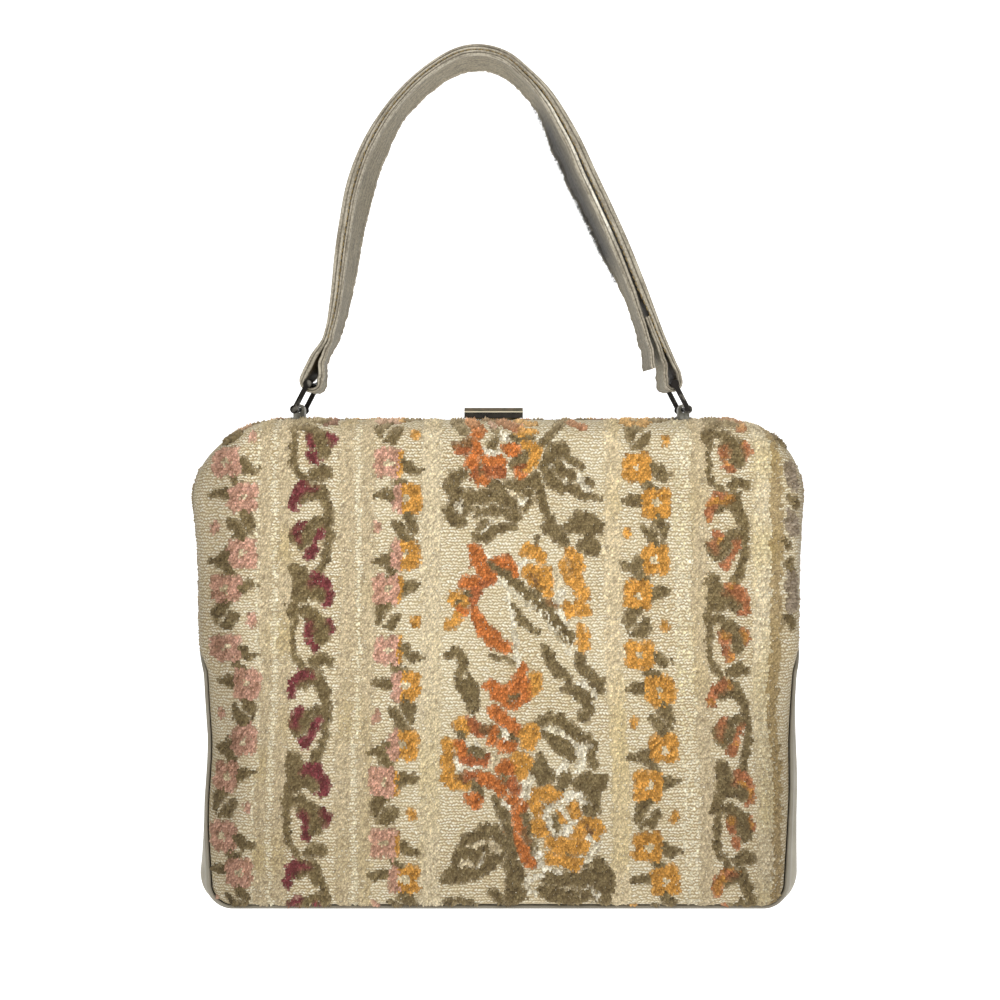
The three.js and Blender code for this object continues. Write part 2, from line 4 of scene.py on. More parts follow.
import bpy
import numpy as np
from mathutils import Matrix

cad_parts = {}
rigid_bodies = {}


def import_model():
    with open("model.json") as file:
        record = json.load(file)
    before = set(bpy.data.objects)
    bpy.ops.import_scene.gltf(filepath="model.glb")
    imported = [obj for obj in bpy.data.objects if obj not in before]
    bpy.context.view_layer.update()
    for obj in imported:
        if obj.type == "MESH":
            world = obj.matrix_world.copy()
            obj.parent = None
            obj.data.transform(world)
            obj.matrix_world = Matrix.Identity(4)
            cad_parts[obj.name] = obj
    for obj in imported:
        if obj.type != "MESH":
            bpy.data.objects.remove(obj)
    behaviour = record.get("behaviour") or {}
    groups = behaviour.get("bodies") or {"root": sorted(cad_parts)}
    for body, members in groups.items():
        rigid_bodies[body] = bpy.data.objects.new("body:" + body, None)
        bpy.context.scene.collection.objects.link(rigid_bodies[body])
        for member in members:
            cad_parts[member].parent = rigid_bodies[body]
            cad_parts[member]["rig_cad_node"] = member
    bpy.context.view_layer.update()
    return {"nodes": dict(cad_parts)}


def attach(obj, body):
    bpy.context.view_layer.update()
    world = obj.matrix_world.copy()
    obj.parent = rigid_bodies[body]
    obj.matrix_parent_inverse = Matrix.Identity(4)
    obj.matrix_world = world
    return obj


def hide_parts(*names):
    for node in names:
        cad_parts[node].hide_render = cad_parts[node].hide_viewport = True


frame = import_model()
NODES = frame["nodes"]
MM = 0.001
RANDOM = np.random.default_rng(1961)
# A distance past everything, and a number that guards a division
FAR = 1e6
TINY = 1e-6

# Bag body, as in the solids
CENTRE_X = 10.3
MOUTH_Y = -3.0
TOP_Z = -179.0
BOTTOM_Z = -426.5
MIDDLE_Z = (TOP_Z + BOTTOM_Z) / 2
HALF_WIDTH = 153.8
TOP_RADIUS = 44.0
BOTTOM_RADIUS = 15.0
TOP_DEPTH = 22.0
BOTTOM_DEPTH = 36.0
FACE_CROWN = 3.0
FACE_TOP_RADIUS = 33.0
FACE_BOTTOM_RADIUS = 8.0
ROLL_POWER = 2.3
TOP_INSET = 13.0
SIDE_INSET = 11.0
LOW_SIDE_INSET = 17.0
BOTTOM_INSET = 9.0
LEG_END_Z = TOP_Z - 116.0
GUSSET_SHOULDER = 11.0
GUSSET_TOP_Z = LEG_END_Z - GUSSET_SHOULDER
GUSSET_TOP_REACH = 22.0
GUSSET_BOTTOM_REACH = 32.0
BAR_REACH = 6.15

# Weave: cell of one pile tuft, depth of the ground, height and lean of the pile, wall of the cloth, and side
# of the square of its UV map
CELL_WIDTH = 0.9
CELL_HEIGHT = 1.17
GROUND_SINK = 0.5
PILE_HEIGHT = 1.5
PILE_LEAN = (0.22, -0.18)
CLOTH_WALL = 1.2
CLOTH_SQUARE = 380.0
# Reach of the flat cloth past the bag: beside it, above and below, and margin and extra height of the grid of
# cells that it is cut from
CLOTH_BESIDE = 22.0
CLOTH_ABOVE = 22.0
CLOTH_BELOW = 12.0
GRID_MARGIN = 25.0
GRID_ROOM = 60.0
# Tufts: half size as a share of the cell, spread of their place, lean and height, and the painted shade of
# the foot and painted highlight of the tip
TUFT_HALF = 0.72
TUFT_STRAY = 0.2
LEAN_SPREAD = 0.26
HEIGHT_SPREAD = 0.16
FOOT_PAINTED_SHADE, TIP_PAINTED_HIGHLIGHT = 0.6, 1.15

# Clasp bar: the bead along its front, which carries a painted highlight
BEAD_LOW_Z = TOP_Z + 3.0
BEAD_TOP_Z = TOP_Z + 3.55

# Camera: the photo's place and angle, with its picture 1000 units wide and high
CAMERA_AT = (10.85, -520.0, -184.94)
CAMERA_PITCH = math.radians(4.0)
PICTURE = 1000.0
FOCAL = 1000.0


def srgb(red, green, blue):
    """Linear colour of a display colour from 0 to 255."""
    shares = np.array((red, green, blue)) / 255
    return np.where(shares <= 0.04045, shares / 12.92, ((shares + 0.055) / 1.055) ** 2.4)


PALETTE = {
    "olive": srgb(140, 122, 84),
    "brown": srgb(152, 114, 72),
    "orange": srgb(212, 130, 66),
    "rust": srgb(188, 114, 68),
    "gold": srgb(224, 167, 80),
    "amber": srgb(190, 126, 84),
    "pink": srgb(220, 174, 151),
    "wine": srgb(138, 68, 70),
    "white": srgb(247, 239, 217),
    "pale": srgb(236, 221, 187),
    "velvet": srgb(220, 203, 168),
    "cream": srgb(236, 219, 182),
    "tan": srgb(196, 174, 130),
    "taupe": srgb(168, 152, 130),
    "ladder": srgb(252, 242, 212),
}

# Steps of the outline's runs: along the top or the bottom, round a lower corner, up the gusset's side and its
# shoulder, up the frame's leg and round an upper corner
FLAT_STEPS = 70
LOW_CORNER_STEPS = 16
LOW_SIDE_STEPS = 32
SHOULDER_STEPS = 6
LEG_STEPS = 24
TOP_CORNER_STEPS = 40
GUSSET_RUN = LOW_CORNER_STEPS + LOW_SIDE_STEPS + SHOULDER_STEPS
LOW_RUN = FLAT_STEPS + GUSSET_RUN

# Bag surface


def ramp(value, start, run):
    """0 up to start, then rising to 1 over run."""
    return np.clip((value - start) / run, 0, 1)


def eased(share):
    """A share from 0 to 1 that starts and ends slowly."""
    return share**2 * (3 - 2 * share)


def lengths_along(points):
    """Distance from the first point to each point along the run."""
    return np.concatenate(([0], np.cumsum(np.linalg.norm(np.diff(points, axis=0), axis=1))))


def unit(ways):
    """Directions of length 1."""
    return ways / np.linalg.norm(ways, axis=-1, keepdims=True)


def line_run(start, end, steps):
    share = np.arange(steps)[:, None] / steps
    return (1 - share) * np.array(start) + share * np.array(end)


def corner_run(middle, radius, from_degrees, steps):
    angle = np.radians(from_degrees + 90 * np.arange(steps) / steps)
    return np.array(middle) + radius * np.column_stack((np.cos(angle), np.sin(angle)))


def outline(half, low_half, top, bottom, top_radius, bottom_radius):
    """Points round the bag in (x, z), counter-clockwise seen from the front."""
    corner_x, corner_z = half - top_radius, top - top_radius
    low_x, low_z = low_half - bottom_radius, bottom + bottom_radius
    return np.vstack((
        line_run((-low_x, bottom), (low_x, bottom), FLAT_STEPS),
        corner_run((low_x, low_z), bottom_radius, -90, LOW_CORNER_STEPS),
        line_run((low_half, low_z), (half, GUSSET_TOP_Z), LOW_SIDE_STEPS),
        line_run((half, GUSSET_TOP_Z), (half, LEG_END_Z), SHOULDER_STEPS),
        line_run((half, LEG_END_Z), (half, corner_z), LEG_STEPS),
        corner_run((corner_x, corner_z), top_radius, 0, TOP_CORNER_STEPS),
        line_run((corner_x, top), (-corner_x, top), FLAT_STEPS),
        corner_run((-corner_x, corner_z), top_radius, 90, TOP_CORNER_STEPS),
        line_run((-half, corner_z), (-half, LEG_END_Z), LEG_STEPS),
        line_run((-half, LEG_END_Z), (-half, GUSSET_TOP_Z), SHOULDER_STEPS),
        line_run((-half, GUSSET_TOP_Z), (-low_half, low_z), LOW_SIDE_STEPS),
        corner_run((-low_x, low_z), bottom_radius, 180, LOW_CORNER_STEPS),
    ))


def depth_at(z):
    share = ramp(-z, -TOP_Z, TOP_Z - BOTTOM_Z)
    return TOP_DEPTH + (BOTTOM_DEPTH - TOP_DEPTH) * share


def seam_at(z):
    low_z = BOTTOM_Z + BOTTOM_RADIUS
    low = ramp(-z, -GUSSET_TOP_Z, GUSSET_TOP_Z - low_z)
    shoulder = ramp(-z, -LEG_END_Z, GUSSET_SHOULDER)
    reach = GUSSET_TOP_REACH + (GUSSET_BOTTOM_REACH - GUSSET_TOP_REACH) * low
    return BAR_REACH + (reach - BAR_REACH) * shoulder


# Puffed cloth at the top corners: x and z on the outline, spread and height
PUFFS = [(146.0, -198.0, 20.0, 3.6), (-152.0, -212.0, 17.0, 3.2)]
FRAME_LINE = outline(HALF_WIDTH, HALF_WIDTH, TOP_Z, BOTTOM_Z, TOP_RADIUS, BOTTOM_RADIUS)
FACE = outline(
    HALF_WIDTH - SIDE_INSET, HALF_WIDTH - LOW_SIDE_INSET, TOP_Z - TOP_INSET, BOTTOM_Z + BOTTOM_INSET,
    FACE_TOP_RADIUS, FACE_BOTTOM_RADIUS)
PUFF = sum(height * np.exp(-np.hypot(FRAME_LINE[:, 0] - x, FRAME_LINE[:, 1] - z) ** 2 / (2 * spread**2))
           for x, z, spread, height in PUFFS)
INSET = np.linalg.norm(FRAME_LINE - FACE, axis=1)
OUT = (FRAME_LINE - FACE) / INSET[:, None]
MOUTH = FRAME_LINE + OUT * PUFF[:, None]
INSET = INSET + PUFF
DEPTH = depth_at(FACE[:, 1])
SEAM = seam_at(MOUTH[:, 1])
RING = len(MOUTH)


def body_spot(mouth, out, inset, depth, across):
    """Point and outward direction where the bag's surface stands across mm off the plane of the mouth."""
    ratio = np.minimum(np.abs(across) / depth, 1)
    level = 1 - ratio**ROLL_POWER
    drop = inset * (1 - level ** (1 / ROLL_POWER))
    rise = level ** (1 - 1 / ROLL_POWER)
    run = np.sign(across) * ratio ** (ROLL_POWER - 1) * inset / depth
    length = np.hypot(rise, run)
    point = np.stack((CENTRE_X + mouth[..., 0] - out[..., 0] * drop, MOUTH_Y + across,
                      mouth[..., 1] - out[..., 1] * drop), axis=-1)
    way = np.stack((out[..., 0] * rise / length, run / length, out[..., 1] * rise / length), axis=-1)
    return point, way


ROLL_STEPS = 40


def roll_tables():
    """For each station, how far across the roll lies at even steps of its length, and that length."""
    last = np.arccos((SEAM / DEPTH) ** (ROLL_POWER / 2))
    share = np.linspace(0, 1, ROLL_STEPS + 1)
    across = -DEPTH[:, None] * np.cos(last[:, None] * share) ** (2 / ROLL_POWER)
    grid = np.ones_like(across)
    point, _ = body_spot(MOUTH[:, None] * grid[..., None], OUT[:, None] * grid[..., None],
                         INSET[:, None] * grid, DEPTH[:, None] * grid, across)
    steps = np.linalg.norm(np.diff(point, axis=1), axis=2)
    along = np.hstack((np.zeros((RING, 1)), np.cumsum(steps, axis=1)))
    even = np.array([np.interp(share * a[-1], a, c) for a, c in zip(along, across)])
    return even, along[:, -1]


ROLL_ACROSS, ROLL_LENGTH = roll_tables()
FACE_ANGLES = np.arctan2(FACE[:, 1] - MIDDLE_Z, FACE[:, 0])
FACE_ORDER = np.argsort(FACE_ANGLES)
FACE_REACH = np.hypot(FACE[:, 0], FACE[:, 1] - MIDDLE_Z)


def face_share(x, z):
    """0 at the face's middle and 1 on its outline; x is from the bag's middle."""
    angle = np.arctan2(z - MIDDLE_Z, x)
    reach = np.interp(angle, FACE_ANGLES[FACE_ORDER], FACE_REACH[FACE_ORDER], period=2 * np.pi)
    return np.hypot(x, z - MIDDLE_Z) / reach


# Soft waves of the face, upright ones and slanted ones: height, and length across and down
UPRIGHT_WAVES = (0.5, 33.0, 29.0)
WAVES_START = 0.6
SLANTED_WAVES = (0.35, 17.0, 23.0)


def face_depth(x, z):
    share = np.minimum(face_share(x, z), 1)
    height, across, down = UPRIGHT_WAVES
    swell = height * np.sin(x / across + WAVES_START) * np.sin(z / down)
    height, across, down = SLANTED_WAVES
    swell = swell + height * np.sin(x / across - z / down)
    return depth_at(z) + FACE_CROWN * (1 - share**2) + swell * (1 - share**4)


def face_spot(x, z):
    step = 0.5
    slope_x = (face_depth(x + step, z) - face_depth(x - step, z)) / (2 * step)
    slope_z = (face_depth(x, z + step) - face_depth(x, z - step)) / (2 * step)
    way = unit(np.stack((-slope_x, -np.ones_like(x), -slope_z), axis=-1))
    return np.stack((CENTRE_X + x, MOUTH_Y - face_depth(x, z), z), axis=-1), way


def roll_station(x, z):
    """Station of the outline that a place beyond the face belongs to, as an index, a share and a distance."""
    dx = x[:, None] - FACE[None, :, 0]
    dz = z[:, None] - FACE[None, :, 1]
    along = dx * OUT[:, 0] + dz * OUT[:, 1]
    aside = dx * -OUT[:, 1] + dz * OUT[:, 0]
    after = np.roll(aside, -1, axis=1)
    crossing = (aside >= 0) & (after < 0) & (along > -1)
    index = np.argmin(np.where(crossing, along, FAR), axis=1)
    rows = np.arange(len(x))
    gap = aside[rows, index] - after[rows, index]
    share = np.clip(aside[rows, index] / np.where(np.abs(gap) < TINY, 1, gap), 0, 1)
    following = (index + 1) % RING
    distance = along[rows, index] * (1 - share) + along[rows, following] * share
    return index, share, np.where(crossing.any(axis=1), distance, FAR)


def between(values, index, share):
    following = (index + 1) % RING
    share = share.reshape((-1,) + (1,) * (values.ndim - 1))
    return values[index] * (1 - share) + values[following] * share


def cloth_spot(x, z):
    """Point and outward direction of the front panel for a place on its flat cloth, and if it is there."""
    point, way = face_spot(x, z)
    there = face_share(x, z) <= 1
    beyond = np.flatnonzero(~there)
    index, share, distance = roll_station(x[beyond], z[beyond])
    part = distance / between(ROLL_LENGTH, index, share)
    on_roll = part <= 1
    beyond, index, share, part = beyond[on_roll], index[on_roll], share[on_roll], part[on_roll]
    column = np.clip(part, 0, 1) * ROLL_STEPS
    low = np.minimum(column.astype(int), ROLL_STEPS - 1)
    rows = between(ROLL_ACROSS, index, share)
    picked = np.arange(len(low))
    across = rows[picked, low] * (1 - column + low) + rows[picked, low + 1] * (column - low)
    point[beyond], way[beyond] = body_spot(
        between(MOUTH, index, share), between(OUT, index, share), between(INSET, index, share),
        between(DEPTH, index, share), across)
    there[beyond] = True
    return point, way, there


MEAN_CROWN = 0.8 * FACE_CROWN


def picture_place(x, z):
    """Where a place on the flat cloth stands in the picture, were the cloth's face to go on flat."""
    y = MOUTH_Y - depth_at(z) - MEAN_CROWN
    side, ahead, above = CENTRE_X + x - CAMERA_AT[0], y - CAMERA_AT[1], z - CAMERA_AT[2]
    forward = ahead * math.cos(CAMERA_PITCH) - above * math.sin(CAMERA_PITCH)
    up = ahead * math.sin(CAMERA_PITCH) + above * math.cos(CAMERA_PITCH)
    return PICTURE / 2 + FOCAL * side / forward, PICTURE / 2 - FOCAL * up / forward


# Tapestry pattern. Places are in picture units, about half a millimetre, across and down.

# Size of a picture unit on the face, in mm, and height of the pattern's repeat
PICTURE_MM = 0.4865
REPEAT = 189.0

# Pile stripes: colour, left edge and right edge
STRIPES = [
    ("velvet", 150, 168), ("velvet", 256, 267), ("velvet", 275, 288), ("velvet", 338, 353),
    ("velvet", 360, 373), ("pale", 421, 440), ("cream", 606, 622), ("velvet", 694, 710),
    ("pale", 757, 773), ("tan", 775, 786), ("velvet", 830, 850),
]
# Columns of bright stitches: their middles and half width
LADDERS = [254.0, 271.0, 357.0, 679.0, 685.0, 691.5, 762.5, 768.5, 774.0]
LADDER_HALF = 1.2

# One repeat of the small flowers: side of the column, place across and down the repeat
FLOWERS = [("left", -9.5, 0), ("right", 9, 35.5), ("right", 8, 92.5), ("left", -10, 128)]
# Leaves of the small flowers: half widths and points (across, down)
FLOWER_LEAVES = [
    ((6, 5.5, 2), ((8, 2), (14, 8), (24, 7))),
    (4.6, ((-1, 17), (6, 22))),
    ((6, 5.5, 2), ((-6, 32), (-13, 33), (-25, 33))),
    ((6, 6.5, 3), ((9, 51), (15, 60), (17, 70))),
    ((4, 6, 5.5), ((-3, 61), (4, 70), (10, 78))),
    ((5.5, 7, 3), ((-4, 93), (-13, 99), (-25, 100))),
    (5.0, ((-8, 108), (-4, 113))),
    ((7, 6, 2), ((5, 127), (12, 125), (23, 124))),
    ((6, 6.5, 3), ((-10, 142), (-17, 150), (-19, 161))),
    ((5, 6, 5.5), ((-1, 156), (-6, 164), (-13, 171))),
]
# Small buds beside them: places, half width and height against width
FLOWER_SPECKS = [(-20, 66), (17, 160)]
SPECK_HALF = 4.0
SPECK_TALL = 1.6
# Flower: half width of its petals and where their middles are, where its second colour starts in a left and a
# right flower, and half width and squash of its heart
PETAL_HALF = 9.0
PETAL_AT = (6.4, 6.0)
LEFT_SECOND_FROM, RIGHT_SECOND_FROM = 10.5, -4.5
HEART_HALF = 4.4
HEART_SQUASH = 1.15
# How far above its first flower a repeat starts
FLOWER_LEAD = 20.0
# Small-flower columns: middle, first flower's height, colours of the left and the right flowers
FLOWER_COLUMNS = [
    (230.5, 460.0, "pink", "pink"),
    (396.5, 460.5, "pink", "gold"),
    (649.5, 466.0, "gold", "gold"),
]

# One repeat of the vine: colour, half widths, points across from the column's left edge and down
VINE = [
    ("olive", 3.4, ((5, 0), (4, 20), (3, 33), (8, 42), (16, 52))),
    ("olive", (5, 5.5, 5), ((8, -4), (18, -5), (27, 1))),
    ("olive", (8, 10, 9.5, 7.5), ((22, 3), (29, 9), (34, 14), (33, 23))),
    ("bloom", (5, 5.4), ((20, 8), (22, 16))),
    ("bloom", (4, 4.6), ((22, 26), (26, 32))),
    ("bloom", (4.4, 5, 4), ((39, 7), (43, 12), (42, 16))),
    ("olive", (6, 7, 4.5), ((27, 48), (35, 45), (43, 47))),
    ("olive", (6, 8.6, 8.4, 6, 5), ((14, 70), (20, 63), (30, 64), (37, 76), (41, 87))),
    ("bloom", (4.5, 6, 7.5, 5), ((4, 76), (9, 67), (16, 61), (25, 62))),
    ("bloom", 4.2, ((4, 72), (5, 81))),
    ("olive", (4.6, 4.2, 4.4, 4.4, 4.6), ((41, 84), (42, 101), (41, 120), (37, 132), (31, 144))),
    ("olive", (8, 9, 8.5), ((8, 108), (13, 113), (20, 106))),
    ("olive", 5.4, ((24, 98), (32, 95), (39, 98))),
    ("bloom", 5.4, ((14, 99), (8, 105), (11, 112))),
    ("bloom", (3.4, 4), ((35, 101), (29, 112))),
    ("bloom", (3.6, 4.4, 5.2), ((27, 117), (24, 123), (21, 129))),
    ("olive", (8, 8.5, 7.5), ((8, 144), (12, 151), (9, 161))),
    ("olive", (8, 9, 7.5), ((12, 168), (22, 161), (31, 169))),
    ("olive", 4.8, ((7, 168), (2, 186))),
    ("bloom", (5, 6.5, 6.5, 5, 4), ((21, 157), (29, 152), (36, 158), (41, 168), (42, 175))),
    ("bloom", 3.4, ((39, 174), (37, 178))),
]
# How far in from its edge a bloom of the vine, or a stroke of the middle panel, reaches its full colour
VINE_BLEND = 6.5
BOUQUET_BLEND = 2.6
# How much of a white stroke's half width comes and goes from tuft to tuft
WHITE_BREAK = 1.8
# Vine columns: left edge, height where the repeat starts, colours of the bloom, share of its width
VINE_COLUMNS = [
    (286.0, 614.5, ("wine", "wine"), 1.15),
    (707.5, 625.0, ("amber", "gold"), 1.1),
]
# Level of the noise from which a bloom has its second colour
SECOND_BLOOM_FROM = 0.62
# The column that goes round the right side: colour, half widths, points
SIDE_LEAVES = [
    ("taupe", 7.5, ((798, 24), (800, 40))),
    ("olive", 4.5, ((796, 56), (802, 62))),
    ("taupe", 7.5, ((797, 76), (800, 88))),
    ("olive", 4.0, ((790, 99), (792, 104))),
    ("olive", 4.0, ((793, 120), (800, 128))),
    ("taupe", 7.5, ((798, 136), (800, 164))),
    ("olive", 5.5, ((793, 178), (799, 184))),
]
SIDE_LEAVES_FROM = 630.0
SIDE_LEAVES_TO = 640.0

